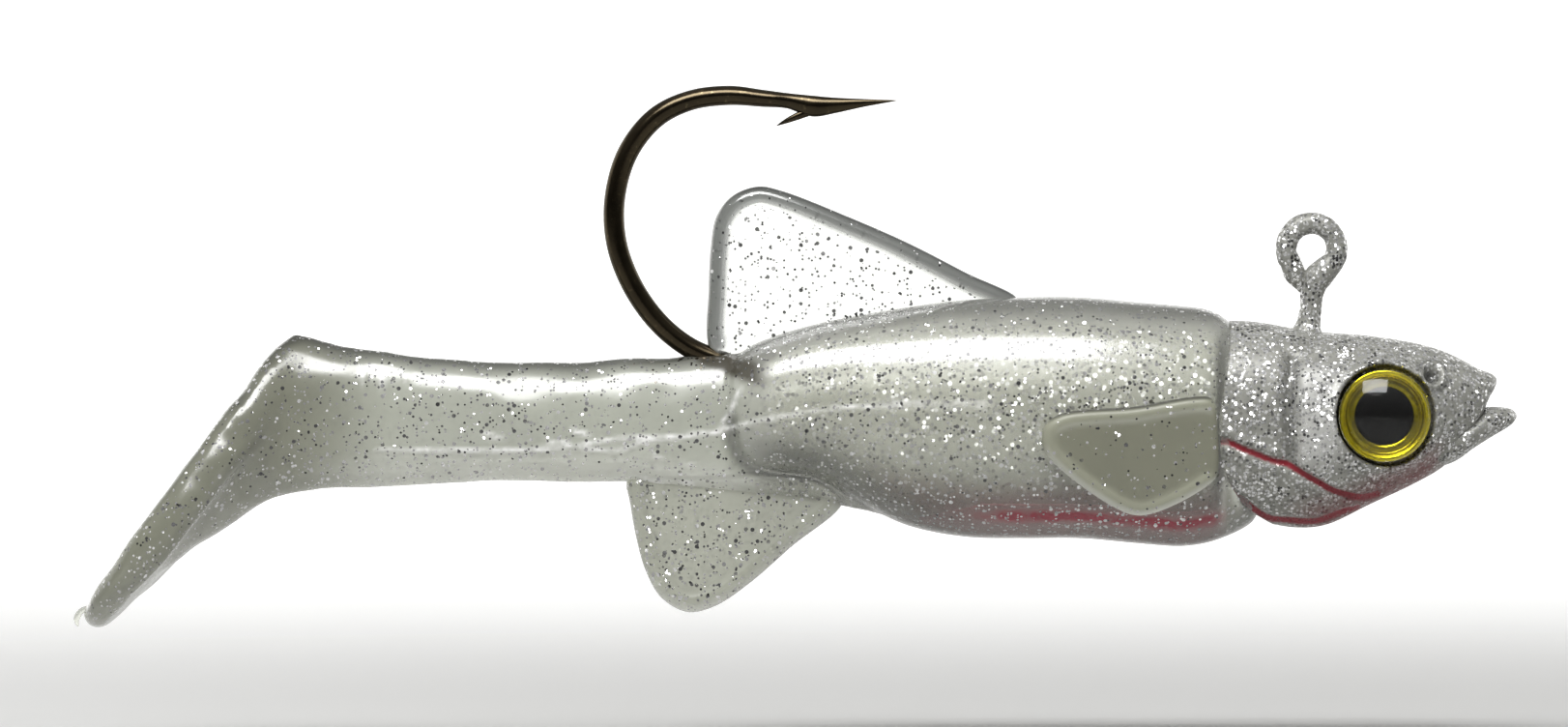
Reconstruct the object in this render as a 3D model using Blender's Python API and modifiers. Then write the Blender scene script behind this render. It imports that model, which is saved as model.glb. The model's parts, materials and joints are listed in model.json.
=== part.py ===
"""Jig-head swimbait: a lead head cast on a hook, with a soft paddle-tail body threaded on behind it.

The lure is upright as it swims: +X to the nose, +Z to the back, -Y the right flank.
The origin is the middle of the line-tie ring. Tables are in millimetres, and MM turns them into metres.
"""

import math

import bmesh
import bpy
import numpy
from mathutils import Vector

MM = 0.001

# Hook
WIRE_RADIUS = 0.72
RING_RADIUS = 1.75
RING_WIRE_RADIUS = 0.76
SHANK_Z = -9.6
CAST_GAP = 0.2          # round the wire inside the lead
FIT_GAP = 0.3           # between pieces that touch on the real lure

# Body
SKIN = 0.9              # thickness of the clear outer layer on the flanks and belly
SKIN_TOP = 2.0          # and along the back, under the dorsal fin
CORE_FRONT_X = -8.0
CORE_REAR_X = -38.6
STRIPE_REAR_X = -27.0
STRIPE_HALF_WIDTH = 2.0
STRIPE_HEIGHT = 0.8
KEEPER_END_X = -14.5
KEEPER_RADIUS = 1.7

# Tail: each joint is an upright axis through the stem
TAIL_JOINTS_X = (-49.3, -55.3, -61.3, -67.4)
KNUCKLE_RADIUS = 2.5
PADDLE_TOP = (-71.2, -6.1)      # upper end of the paddle's rear face
PADDLE_TIP = (-84.95, -25.1)    # lower end of it
PADDLE_THICKNESS = 3.1

# Fins: plates whose rounded root turns about the line between two points (x, z)
DORSAL_AXIS = ((-39.6, -5.75), (-21.6, -3.0))
DORSAL_HALF_THICKNESS = 0.8
ANAL_AXIS = ((-46.6, -16.65), (-33.8, -18.05))
ANAL_HALF_THICKNESS = 1.0
PECTORAL_HINGE = (-7.5, 6.8, -13.0)
PECTORAL_HALF_THICKNESS = 0.6
PECTORAL_LEAN = math.radians(8)
PECTORAL_YAW = math.radians(3)

# Eyes
EYE = (4.7, -11.6)
EYE_RADIUS = 3.2
PUPIL_RADIUS = 1.95
DOME_RISE = 1.15
EYE_SEAT_Y = 3.9
EYE_GAP = 0.2           # round the eye in its seat
NOSTRIL = (8.0, -8.85)
NOSTRIL_Y = 4.15
NOSTRIL_RADIUS = 0.7

# Stations along the lure: x, top z, bottom z, half width
HEAD_STATIONS = (
    (-7.0, -5.0, -18.6, 5.5),
    (-4.0, -5.1, -18.9, 5.75),
    (-1.0, -5.6, -19.35, 5.8),
    (1.0, -5.85, -19.15, 5.7),
    (4.0, -6.08, -17.75, 5.3),
    (7.0, -6.55, -16.35, 4.6),
    (9.0, -7.1, -15.2, 4.0),
    (10.5, -7.8, -13.8, 3.3),
    (11.5, -8.35, -12.2, 2.7),
    (12.2, -8.6, -10.5, 2.0),
    (12.6, -8.8, -9.8, 1.3),
    (12.78, -9.0, -9.4, 0.5),
)
JAW_STATIONS = (
    (8.4, -12.6, -15.3, 3.2),
    (10.0, -12.1, -14.7, 3.0),
    (11.0, -11.7, -14.0, 2.8),
    (12.0, -11.05, -13.35, 2.4),
    (13.0, -11.0, -12.75, 1.9),
    (13.8, -11.15, -12.25, 1.2),
    (14.15, -11.45, -11.8, 0.4),
)
BODY_STATIONS = (
    (-3.9, -7.0, -18.85, 4.5),
    (-4.8, -6.0, -19.45, 4.95),
    (-6.0, -4.85, -20.0, 5.4),
    (-7.2, -4.25, -20.4, 5.8),
    (-9.0, -4.0, -20.65, 6.1),
    (-12.0, -3.75, -20.45, 6.4),
    (-16.0, -3.4, -20.1, 6.6),
    (-20.0, -3.4, -20.1, 6.6),
    (-24.0, -3.6, -20.0, 6.3),
    (-28.0, -4.1, -19.2, 5.8),
    (-31.0, -4.6, -17.8, 5.3),
    (-34.0, -5.2, -16.4, 4.8),
    (-37.0, -6.05, -15.6, 4.3),
    (-39.0, -6.9, -15.0, 3.5),
    (-40.1, -8.0, -13.8, 2.4),
    (-40.5, -9.6, -12.4, 0.8),
)
STEM_STATIONS = (
    (-27.0, -9.0, -19.1, 1.8),
    (-32.7, -8.6, -17.85, 2.3),
    (-36.0, -8.0, -17.45, 2.4),
    (-40.0, -7.25, -17.0, 2.5),
    (-44.0, -7.5, -16.6, 2.5),
    (-47.4, -7.68, -16.25, 2.5),
    (-54.0, -7.95, -16.2, 2.45),
    (-58.0, -7.82, -16.2, 2.4),
    (-62.0, -7.42, -16.35, 2.4),
    (-66.0, -6.95, -16.6, 2.4),
    (-70.0, -6.4, -16.9, 2.5),
)
# Where the stem turns into the paddle its sections fan round: top x, top z, bottom x, bottom z, half width
FAN_STATIONS = (
    (-63.0, -7.3, -63.0, -16.4, 2.4),
    (-67.0, -6.75, -67.5, -16.7, 2.4),
    (-69.2, -6.2, -71.5, -17.25, 2.5),
    (-70.4, -5.95, -75.0, -19.3, 2.8),
    (-71.0, -6.5, -79.0, -22.0, 3.3),
    (-71.6, -7.4, -83.3, -25.0, 3.4),
)
# Paddle outline in its own plane: distance from the top end, half width
PADDLE_WIDTHS = (
    (0.0, 0.6), (0.6, 1.9), (3.5, 3.3), (9.0, 5.4), (14.0, 6.4),
    (18.5, 6.2), (22.0, 4.6), (23.7, 2.4), (24.2, 0.6),
)
# Rear edge of the head, down the gill cover: x, z
GILL_EDGE = (
    (-5.5, -3.0), (-5.75, -6.0), (-6.35, -10.0), (-6.65, -12.5),
    (-6.25, -15.5), (-4.9, -17.8), (-2.7, -19.1), (-1.5, -19.9),
)
DORSAL_OUTLINE = (
    (-40.0, -5.75), (-41.6, -5.2), (-41.75, -3.0), (-41.6, 0.0), (-41.2, 2.2), (-40.1, 3.6),
    (-38.3, 4.27), (-36.6, 3.95), (-28.0, 0.45), (-21.4, -2.9),
)
ANAL_OUTLINE = (
    (-46.6, -16.65), (-47.2, -17.5), (-46.75, -20.0), (-46.1, -22.3), (-45.0, -24.2), (-43.2, -25.2),
    (-41.3, -24.8), (-39.0, -23.3), (-36.0, -20.7), (-33.2, -18.25),
)
PECTORAL_OUTLINE = (
    (-7.5, -10.7), (-8.4, -10.2), (-12.5, -10.9), (-17.6, -11.4), (-18.7, -12.2), (-18.9, -13.5),
    (-18.2, -14.7), (-13.9, -17.9), (-12.3, -18.45), (-10.6, -18.1), (-7.9, -16.5), (-7.5, -15.6),
)
# Hook, from the ring down the leg and back along the shank to the point: x, z, wire radius
HOOK_ROUTE = (
    (0.5, -1.7, WIRE_RADIUS), (0.1, -3.2, WIRE_RADIUS), (-0.2, -5.3, WIRE_RADIUS), (-0.6, -7.6, WIRE_RADIUS),
    (-1.2, -8.9, WIRE_RADIUS), (-2.6, SHANK_Z, WIRE_RADIUS), (-5.0, SHANK_Z, WIRE_RADIUS),
    (-15.0, SHANK_Z, WIRE_RADIUS), (-29.0, SHANK_Z, WIRE_RADIUS), (-34.0, -9.35, WIRE_RADIUS),
    (-38.5, -8.5, WIRE_RADIUS), (-41.2, -7.7, WIRE_RADIUS), (-43.2, -6.8, WIRE_RADIUS),
    (-45.2, -5.15, WIRE_RADIUS), (-47.0, -2.6, WIRE_RADIUS), (-48.1, 0.4, WIRE_RADIUS),
    (-48.2, 3.5, WIRE_RADIUS), (-47.3, 6.6, WIRE_RADIUS), (-45.4, 9.0, WIRE_RADIUS), (-43.0, 10.2, 0.7),
    (-40.3, 10.55, 0.68), (-38.0, 10.35, 0.6), (-36.0, 10.15, 0.56), (-34.6, 9.85, WIRE_RADIUS),
    (-32.0, 9.93, 0.43), (-30.0, 10.1, 0.18), (-28.7, 10.2, 0.04),
)
BARB = ((-34.9, 9.35, 0.3), (-36.1, 8.85, 0.2), (-36.95, 8.48, 0.04))

# Finishes: base colour, roughness, metallic, transmission
FINISHES = {
    "silver_paint": ((0.62, 0.62, 0.6), 0.35, 0.7, 0.0),
    "black_nickel": ((0.06, 0.05, 0.04), 0.25, 1.0, 0.0),
    "gold_foil": ((0.75, 0.62, 0.05), 0.25, 0.9, 0.0),
    "black_gloss": ((0.01, 0.01, 0.01), 0.2, 0.0, 0.0),
    "clear_lens": ((0.95, 0.95, 0.95), 0.05, 0.0, 1.0),
    "clear_plastisol": ((0.55, 0.57, 0.53), 0.25, 0.0, 0.6),
    "glitter_plastisol": ((0.5, 0.5, 0.47), 0.4, 0.4, 0.0),
    "red_plastisol": ((0.25, 0.03, 0.04), 0.45, 0.0, 0.0),
}

PARTS = "swimbait"
CUTTERS = "swimbait_cutters"


def clear_scene():
    """Remove the objects that are already in the scene."""
    for obj in list(bpy.data.objects):
        bpy.data.objects.remove(obj)


def collection(name):
    """The collection of this name, made on first use."""
    found = bpy.data.collections.get(name)
    if found is None:
        found = bpy.data.collections.new(name)
        bpy.context.scene.collection.children.link(found)
    return found


def spline(points, steps):
    """Points on a centripetal Catmull-Rom curve through the given points, steps to each span."""
    knots = [numpy.array(point, dtype=float) for point in points]
    knots = [2 * knots[0] - knots[1]] + knots + [2 * knots[-1] - knots[-2]]
    curve = []
    for before, start, end, after in zip(knots, knots[1:], knots[2:], knots[3:]):
        pairs = ((before, start), (start, end), (end, after))
        gap_in, gap, gap_out = (float(numpy.linalg.norm(b - a)) ** 0.5 for a, b in pairs)
        leave = gap * ((start - before) / gap_in - (end - before) / (gap_in + gap) + (end - start) / gap)
        arrive = gap * ((end - start) / gap - (after - start) / (gap + gap_out) + (after - end) / gap_out)
        for step in range(steps):
            t = step / steps
            curve.append(
                start * (1 + 2 * t) * (1 - t) ** 2 + leave * t * (1 - t) ** 2
                + end * t * t * (3 - 2 * t) - arrive * t * t * (1 - t)
            )
    curve.append(knots[-2])
    return curve


def add_object(name, mesh, where=PARTS):
    """Link a mesh as an object; cutters are drawn as wires and don't render."""
    obj = bpy.data.objects.new(name, mesh)
    collection(where).objects.link(obj)
    if where == CUTTERS:
        obj.hide_render = True
        obj.display_type = "WIRE"
    return obj


def mesh_from(name, bm, where=PARTS):
    """Finish a bmesh whose coordinates are in millimetres as an object in metres."""
    bmesh.ops.scale(bm, vec=Vector((MM, MM, MM)), verts=bm.verts)
    bmesh.ops.recalc_face_normals(bm, faces=bm.faces)
    mesh = bpy.data.meshes.new(name)
    bm.to_mesh(mesh)
    bm.free()
    return add_object(name, mesh, where)


def section(top, bottom, half_width, sides, power):
    """A superellipse standing on the line from top to bottom (x, z) in the middle plane."""
    middle = Vector(((top[0] + bottom[0]) / 2, 0, (top[1] + bottom[1]) / 2))
    upward = Vector(((top[0] - bottom[0]) / 2, 0, (top[1] - bottom[1]) / 2))
    ring = []
    for index in range(sides):
        angle = 2 * math.pi * (index + 0.5) / sides
        across, along = math.cos(angle), math.sin(angle)
        across = math.copysign(abs(across) ** (2 / power), across)
        along = math.copysign(abs(along) ** (2 / power), along)
        ring.append(middle + upward * along + Vector((0, half_width * across, 0)))
    return ring


def loft(name, rings, where=PARTS):
    """A closed solid through rings of equal point count, capped at both ends."""
    bm = bmesh.new()
    loops = [[bm.verts.new(point) for point in ring] for ring in rings]
    for near, far in zip(loops, loops[1:]):
        for index in range(len(near)):
            after = (index + 1) % len(near)
            bm.faces.new((near[index], near[after], far[after], far[index]))
    bm.faces.new(loops[0])
    bm.faces.new(loops[-1])
    return mesh_from(name, bm, where)


def station_rings(rows, sides, power):
    """Upright sections from rows of x, top z, bottom z and half width."""
    return [section((x, top), (x, bottom), width, sides, power) for x, top, bottom, width in rows]


def prism(name, outline, half_thickness, plane="XZ", where=PARTS):
    """A plate of the outline, as thick each way from its plane as half_thickness."""
    bm = bmesh.new()
    if plane == "XZ":
        corners = [Vector((a, -half_thickness, b)) for a, b in outline]
        depth = Vector((0, 2 * half_thickness, 0))
    else:
        corners = [Vector((a, b, -half_thickness)) for a, b in outline]
        depth = Vector((0, 0, 2 * half_thickness))
    face = bm.faces.new([bm.verts.new(corner) for corner in corners])
    grown = bmesh.ops.extrude_face_region(bm, geom=[face])
    moved = [item for item in grown["geom"] if isinstance(item, bmesh.types.BMVert)]
    bmesh.ops.translate(bm, vec=depth, verts=moved)
    return mesh_from(name, bm, where)


def tube(name, route, grow=0.0, sides=2, where=PARTS):
    """A round bar along route (x, z, radius) in the middle plane, grown by a clearance."""
    curve = bpy.data.curves.new(name, "CURVE")
    curve.dimensions = "3D"
    curve.bevel_depth = 1.0
    curve.bevel_resolution = sides
    curve.use_fill_caps = True
    line = curve.splines.new("POLY")
    line.points.add(len(route) - 1)
    for point, (x, z, radius) in zip(line.points, route):
        point.co = (x * MM, 0, z * MM, 1)
        point.radius = (radius + grow) * MM
    holder = bpy.data.objects.new(name + "_curve", curve)
    collection(CUTTERS).objects.link(holder)
    bpy.context.view_layer.update()
    shaped = holder.evaluated_get(bpy.context.evaluated_depsgraph_get())
    mesh = bpy.data.meshes.new_from_object(shaped)
    bpy.data.objects.remove(holder)
    bm = bmesh.new()
    bm.from_mesh(mesh)
    bmesh.ops.remove_doubles(bm, verts=bm.verts, dist=0.000001)
    bmesh.ops.recalc_face_normals(bm, faces=bm.faces)
    bm.to_mesh(mesh)
    bm.free()
    mesh.name = name
    return add_object(name, mesh, where)


def turned(name, profile, axis, segments, where=PARTS):
    """A solid of revolution: profile points are distance along axis and radius."""
    bm = bmesh.new()
    points = [bm.verts.new(Vector((along, 0, radius))) for along, radius in profile]
    edges = [bm.edges.new(pair) for pair in zip(points, points[1:])]
    if profile[0][1] > 0:
        edges.append(bm.edges.new((points[-1], points[0])))
    turn = 2 * math.pi
    bmesh.ops.spin(bm, geom=points + edges, cent=(0, 0, 0), axis=(1, 0, 0), angle=turn, steps=segments)
    bmesh.ops.remove_doubles(bm, verts=bm.verts, dist=0.0001)
    if axis == "Y":
        for vert in bm.verts:
            vert.co = Vector((vert.co.y, vert.co.x, vert.co.z))
    return mesh_from(name, bm, where)


def rod(name, ends, radius, where=PARTS):
    """A straight round bar between two points (x, z) in the middle plane."""
    return tube(name, [(x, z, radius) for x, z in ends], sides=4, where=where)


def combine(target, operand, operation):
    """Add a live Boolean to target."""
    modifier = target.modifiers.new(operand.name, "BOOLEAN")
    modifier.operation = operation
    modifier.object = operand
    modifier.solver = "EXACT"


def bevel(target, width, segments=2, angle=math.radians(50)):
    """Round the edges sharper than the angle."""
    modifier = target.modifiers.new("edge", "BEVEL")
    modifier.width = width * MM
    modifier.segments = segments
    modifier.limit_method = "ANGLE"
    modifier.angle_limit = angle


def paint(obj, finish, smooth_angle=math.radians(40)):
    """Give an object the Principled material of a finish, and smooth shading."""
    material = bpy.data.materials.get(finish)
    if material is None:
        colour, roughness, metallic, transmission = FINISHES[finish]
        material = bpy.data.materials.new(finish)
        material.use_nodes = True
        shader = material.node_tree.nodes["Principled BSDF"]
        shader.inputs["Base Color"].default_value = (*colour, 1)
        shader.inputs["Roughness"].default_value = roughness
        shader.inputs["Metallic"].default_value = metallic
        shader.inputs["Transmission Weight"].default_value = transmission
    obj.data.materials.append(material)
    obj.data.shade_smooth()
    obj.data.set_sharp_from_angle(angle=smooth_angle)


def hook_rows(steps=3):
    """The hook's route with its long curves rounded."""
    return [tuple(row) for row in spline(HOOK_ROUTE, steps)]


def make_hook():
    """The line-tie ring, leg, shank, bend, point and barb as one wire."""
    hook = tube("hook", hook_rows(), sides=2)
    bpy.ops.mesh.primitive_torus_add(
        major_radius=RING_RADIUS * MM, minor_radius=RING_WIRE_RADIUS * MM,
        major_segments=28, minor_segments=12, rotation=(math.pi / 2, 0, 0),
    )
    ring = bpy.context.object
    ring.name = "hook_ring"
    for owner in ring.users_collection:
        owner.objects.unlink(ring)
    collection(CUTTERS).objects.link(ring)
    ring.hide_render = True
    ring.display_type = "WIRE"
    barb = tube("hook_barb", BARB, sides=2, where=CUTTERS)
    combine(hook, ring, "UNION")
    combine(hook, barb, "UNION")
    paint(hook, "black_nickel")


def gill_prism(name, shift_x=0.0, shift_z=0.0):
    """Everything in front of the head's rear edge, moved back by a clearance."""
    edge = [(x + shift_x, z + shift_z) for x, z in spline(GILL_EDGE, 3)]
    return prism(name, edge + [(30.0, -30.0), (30.0, 5.0)], 12.0, where=CUTTERS)


def keeper(name, grow, end_x, where):
    """The barbed collar on the back of the head that the body is pushed over."""
    profile = [(-5.0, 0.0), (-5.0, KEEPER_RADIUS + grow)]
    if grow:
        profile += [(end_x, KEEPER_RADIUS + grow)]
    else:
        profile += [
            (-8.6, KEEPER_RADIUS), (-8.6, KEEPER_RADIUS + 0.4), (-10.2, KEEPER_RADIUS - 0.1),
            (-11.8, KEEPER_RADIUS - 0.1), (-11.8, KEEPER_RADIUS + 0.3), (end_x, KEEPER_RADIUS - 0.3),
        ]
    profile += [(end_x, 0.0)]
    made = turned(name, profile, "X", 20, where=where)
    made.location.z = SHANK_Z * MM
    return made


def make_head(wire_clearance):
    """The lead head: upper head and lower jaw, keeper, eye seats and nostrils."""
    head = loft("jig_head", station_rings(spline(HEAD_STATIONS, 2), 24, 2.3))
    jaw = loft("jaw", station_rings(spline(JAW_STATIONS, 2), 20, 2.2), where=CUTTERS)
    combine(head, jaw, "UNION")
    combine(head, gill_prism("gill_cut"), "INTERSECT")
    combine(head, keeper("keeper", 0.0, KEEPER_END_X, CUTTERS), "UNION")
    combine(head, wire_clearance, "DIFFERENCE")
    for side, sign in (("right", -1), ("left", 1)):
        near, far = sorted((sign * EYE_SEAT_Y, sign * 9.0))
        wide = EYE_RADIUS + EYE_GAP
        seat_profile = [(near, 0.0), (near, wide), (far, wide), (far, 0.0)]
        seat = turned("eye_seat_" + side, seat_profile, "Y", 28, where=CUTTERS)
        seat.location = (EYE[0] * MM, 0, EYE[1] * MM)
        combine(head, seat, "DIFFERENCE")
        bpy.ops.mesh.primitive_uv_sphere_add(segments=12, ring_count=8, radius=NOSTRIL_RADIUS * MM)
        dimple = bpy.context.object
        dimple.name = "nostril_" + side
        dimple.location = (NOSTRIL[0] * MM, sign * NOSTRIL_Y * MM, NOSTRIL[1] * MM)
        for owner in dimple.users_collection:
            owner.objects.unlink(dimple)
        collection(CUTTERS).objects.link(dimple)
        dimple.hide_render = True
        dimple.display_type = "WIRE"
        combine(head, dimple, "DIFFERENCE")
    paint(head, "silver_paint")


def make_eyes():
    """Gold stepped ring, black pupil and clear dome in each eye seat."""
    floor = EYE_SEAT_Y + 0.05
    ring_profile = (
        (floor, 2.1), (floor, EYE_RADIUS), (floor + 0.8, EYE_RADIUS), (floor + 0.8, EYE_RADIUS - 0.35),
        (floor + 0.5, EYE_RADIUS - 0.7), (floor + 0.5, EYE_RADIUS - 0.85), (floor + 0.3, 2.1),
    )
    pupil_profile = (
        (floor, 0.0), (floor, PUPIL_RADIUS), (floor + 0.35, PUPIL_RADIUS),
        (floor + 0.45, PUPIL_RADIUS - 0.15), (floor + 0.45, 0.0),
    )
    base = floor + 0.9
    dome_profile = [(base, 0.0), (base, EYE_RADIUS)]
    for step in range(1, 6):
        angle = step / 6 * math.pi / 2
        dome_profile.append((base + 0.15 + DOME_RISE * math.sin(angle), EYE_RADIUS * math.cos(angle)))
    dome_profile.append((base + 0.15 + DOME_RISE, 0.0))
    pieces = (
        ("eye_ring", ring_profile, "gold_foil"),
        ("eye_pupil", pupil_profile, "black_gloss"),
        ("eye_dome", dome_profile, "clear_lens"),
    )
    for side, sign in (("right", -1), ("left", 1)):
        for name, profile, finish in pieces:
            piece = turned(name + "_" + side, [(sign * y, radius) for y, radius in profile], "Y", 28)
            piece.location = (EYE[0] * MM, 0, EYE[1] * MM)
            paint(piece, finish)


def inner_rings(inset, inset_top, front_x, rear_x):
    """Body sections drawn in from the outside, between two stations."""
    rows = []
    for x, top, bottom, width in spline(BODY_STATIONS, 2):
        if rear_x < x < front_x:
            rows.append((x, top - inset_top, bottom + inset, width - inset))
    outer = spline(BODY_STATIONS, 2)
    columns = [[row[index] for row in reversed(outer)] for index in range(4)]
    for x, place in ((front_x, 0), (rear_x, len(rows) + 1)):
        top, bottom, width = (float(numpy.interp(x, columns[0], columns[index])) for index in (1, 2, 3))
        rows.insert(place, (x, top - inset_top, bottom + inset, width - inset))
    return station_rings(rows, 24, 2.3)


def stripe_rings(grow):
    """The red stripe's sections along the keel of the core."""
    outer = spline(BODY_STATIONS, 2)
    columns = [[row[index] for row in reversed(outer)] for index in range(3)]
    inset = SKIN + FIT_GAP
    rows = []
    for index in range(9):
        x = CORE_FRONT_X + grow + (STRIPE_REAR_X - CORE_FRONT_X - 2 * grow) * index / 8
        keel = float(numpy.interp(x, columns[0], columns[2])) + inset
        rows.append((x, keel + STRIPE_HEIGHT + grow, keel - grow, STRIPE_HALF_WIDTH + grow))
    return station_rings(rows, 16, 3.0)


def knuckle(name, joint_x, grow):
    """A bullet-shaped upright prism: round about the joint's axis, and open to the rear."""
    radius = KNUCKLE_RADIUS + grow
    outline = []
    for step in range(17):
        angle = -math.pi / 2 + math.pi * step / 16
        outline.append((joint_x + radius * math.cos(angle), radius * math.sin(angle)))
    reach = 12.0
    outline += [(joint_x, reach), (-95.0, reach), (-95.0, -reach), (joint_x, -reach)]
    return prism(name, outline, 40.0, plane="XY", where=CUTTERS)


def make_body(wire_clearance):
    """The clear skin with the root of the stem, the glitter core and the red stripe."""
    skin = loft("body_skin", station_rings(spline(BODY_STATIONS, 2), 24, 2.3))
    stem_rows = [row for row in spline(STEM_STATIONS, 2) if row[0] > TAIL_JOINTS_X[0] - 1]
    combine(skin, loft("stem_root", station_rings(stem_rows, 24, 2.6), where=CUTTERS), "UNION")
    combine(skin, gill_prism("head_clearance", -FIT_GAP, -0.15), "DIFFERENCE")
    cavity_rings = inner_rings(SKIN, SKIN_TOP, CORE_FRONT_X + FIT_GAP, CORE_REAR_X - FIT_GAP)
    cavity = loft("core_cavity", cavity_rings, CUTTERS)
    bore = keeper("keeper_bore", 0.7, KEEPER_END_X - 0.6, CUTTERS)
    dorsal_groove = rod("dorsal_groove", DORSAL_AXIS, DORSAL_HALF_THICKNESS + FIT_GAP, CUTTERS)
    anal_groove = rod("anal_groove", longer(ANAL_AXIS, FIT_GAP), ANAL_HALF_THICKNESS + FIT_GAP, CUTTERS)
    first_joint = knuckle("knuckle_gap_1", TAIL_JOINTS_X[0], FIT_GAP)
    for cutter in (cavity, bore, wire_clearance, dorsal_groove, anal_groove, first_joint):
        combine(skin, cutter, "DIFFERENCE")
    paint(skin, "clear_plastisol")

    inset = SKIN + FIT_GAP
    core = loft("body_core", inner_rings(inset, SKIN_TOP + FIT_GAP, CORE_FRONT_X, CORE_REAR_X))
    stripe_slot = loft("stripe_slot", stripe_rings(FIT_GAP), CUTTERS)
    for cutter in (bore, wire_clearance, stripe_slot):
        combine(core, cutter, "DIFFERENCE")
    paint(core, "glitter_plastisol")
    stripe = loft("belly_stripe", stripe_rings(0.0))
    paint(stripe, "red_plastisol")


def longer(ends, extra):
    """The line between two points, made longer at both ends."""
    start, end = (Vector(point) for point in ends)
    step = (end - start).normalized() * extra
    return (tuple(start - step), tuple(end + step))


def make_tail():
    """Three stem segments and the paddle, each rounded in front and hollowed behind about a joint."""
    for number in (1, 2, 3):
        front_x = TAIL_JOINTS_X[number - 1]
        rear_x = TAIL_JOINTS_X[number]
        rows = [row for row in spline(STEM_STATIONS, 3) if rear_x - 2 < row[0] < front_x + 4]
        segment = loft("tail_segment_%d" % number, station_rings(rows, 24, 2.6))
        combine(segment, knuckle("knuckle_%d" % number, front_x, 0.0), "INTERSECT")
        combine(segment, knuckle("knuckle_gap_%d" % (number + 1), rear_x, FIT_GAP), "DIFFERENCE")
        paint(segment, "clear_plastisol")

    rings = [section((a, b), (c, d), width, 24, 2.6) for a, b, c, d, width in spline(FAN_STATIONS, 3)]
    paddle = loft("tail_paddle", rings)
    combine(paddle, knuckle("knuckle_4", TAIL_JOINTS_X[3], 0.0), "INTERSECT")
    half = spline(PADDLE_WIDTHS, 3)
    outline = [(along, width) for along, width in half] + [(along, -width) for along, width in reversed(half)]
    blade = prism("paddle_blade", outline, PADDLE_THICKNESS / 2, plane="XY", where=CUTTERS)
    bevel(blade, 1.1, 3)
    down = Vector((PADDLE_TIP[0] - PADDLE_TOP[0], 0, PADDLE_TIP[1] - PADDLE_TOP[1])).normalized()
    forward = Vector((-down.z, 0, down.x))
    centre = Vector((PADDLE_TOP[0], 0, PADDLE_TOP[1])) + forward * (PADDLE_THICKNESS / 2)
    blade.rotation_euler = (0, math.atan2(-down.z, down.x), 0)
    blade.location = centre * MM
    combine(paddle, blade, "UNION")
    paint(paddle, "clear_plastisol")


def make_fins():
    """The dorsal and anal fins on the middle plane, and a pectoral fin on each flank."""
    for name, outline, axis, half_thickness in (
        ("dorsal_fin", DORSAL_OUTLINE, DORSAL_AXIS, DORSAL_HALF_THICKNESS),
        ("anal_fin", ANAL_OUTLINE, ANAL_AXIS, ANAL_HALF_THICKNESS),
    ):
        fin = prism(name, outline, half_thickness)
        bevel(fin, half_thickness * 0.6)
        combine(fin, rod(name + "_root", axis, half_thickness, CUTTERS), "UNION")
        paint(fin, "clear_plastisol")
    hinge_x, hinge_y, hinge_z = PECTORAL_HINGE
    outline = [(x - hinge_x, z - hinge_z) for x, z in PECTORAL_OUTLINE]
    root = [(0.0, outline[0][1] - 0.2), (0.0, outline[-1][1] + 0.2)]
    for side, sign in (("right", -1), ("left", 1)):
        fin = prism("pectoral_fin_" + side, outline, PECTORAL_HALF_THICKNESS)
        bevel(fin, PECTORAL_HALF_THICKNESS * 0.6)
        bead = rod("pectoral_root_" + side, root, PECTORAL_HALF_THICKNESS, CUTTERS)
        combine(fin, bead, "UNION")
        bead.parent = fin
        fin.location = Vector((hinge_x, sign * hinge_y, hinge_z)) * MM
        fin.rotation_euler = (-sign * PECTORAL_LEAN, 0, -sign * PECTORAL_YAW)
        paint(fin, "clear_plastisol")


clear_scene()
lead_clearance = tube("wire_in_lead", hook_rows(), CAST_GAP, 2, CUTTERS)
soft_clearance = tube("wire_in_body", hook_rows(), FIT_GAP, 2, CUTTERS)
make_hook()
make_head(lead_clearance)
make_eyes()
make_body(soft_clearance)
make_tail()
make_fins()
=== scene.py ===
"""Visual model of the jig-head swimbait, built round its CAD frame.

Tables are in millimetres in the row frame (+X to the nose, +Z to the back, -Y the right flank, origin in the
line-tie ring), and MM turns them into metres.
"""

import json
import math

import bmesh
import bpy
import numpy as np
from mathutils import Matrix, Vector, geometry, noise


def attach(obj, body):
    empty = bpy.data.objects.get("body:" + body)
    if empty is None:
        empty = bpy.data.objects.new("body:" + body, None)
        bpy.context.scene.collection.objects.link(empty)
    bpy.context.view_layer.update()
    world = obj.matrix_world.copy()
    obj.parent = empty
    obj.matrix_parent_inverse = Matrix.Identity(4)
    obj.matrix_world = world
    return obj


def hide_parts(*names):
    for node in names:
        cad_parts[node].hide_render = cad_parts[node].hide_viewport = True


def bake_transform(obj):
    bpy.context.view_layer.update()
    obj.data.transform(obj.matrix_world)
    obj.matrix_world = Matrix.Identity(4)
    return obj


MM = 0.001
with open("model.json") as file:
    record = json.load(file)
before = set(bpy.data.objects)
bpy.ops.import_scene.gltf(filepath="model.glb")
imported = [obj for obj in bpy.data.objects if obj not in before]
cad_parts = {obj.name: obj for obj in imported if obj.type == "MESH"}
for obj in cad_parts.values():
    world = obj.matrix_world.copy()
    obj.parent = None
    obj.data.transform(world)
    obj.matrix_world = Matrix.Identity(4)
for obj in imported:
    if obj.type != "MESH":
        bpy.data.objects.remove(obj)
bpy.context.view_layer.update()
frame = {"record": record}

# Camera and studio
CAMERA_LENS = 180.0
CAMERA_TARGET = (-36.5, 0.0, -8.0)
CAMERA_DISTANCE = 542.5
FLOOR_Z = -34.0
STUDIO_RADIUS = 2600.0
STUDIO_BEND = 500.0
STUDIO_HEIGHT = 1500.0
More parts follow.
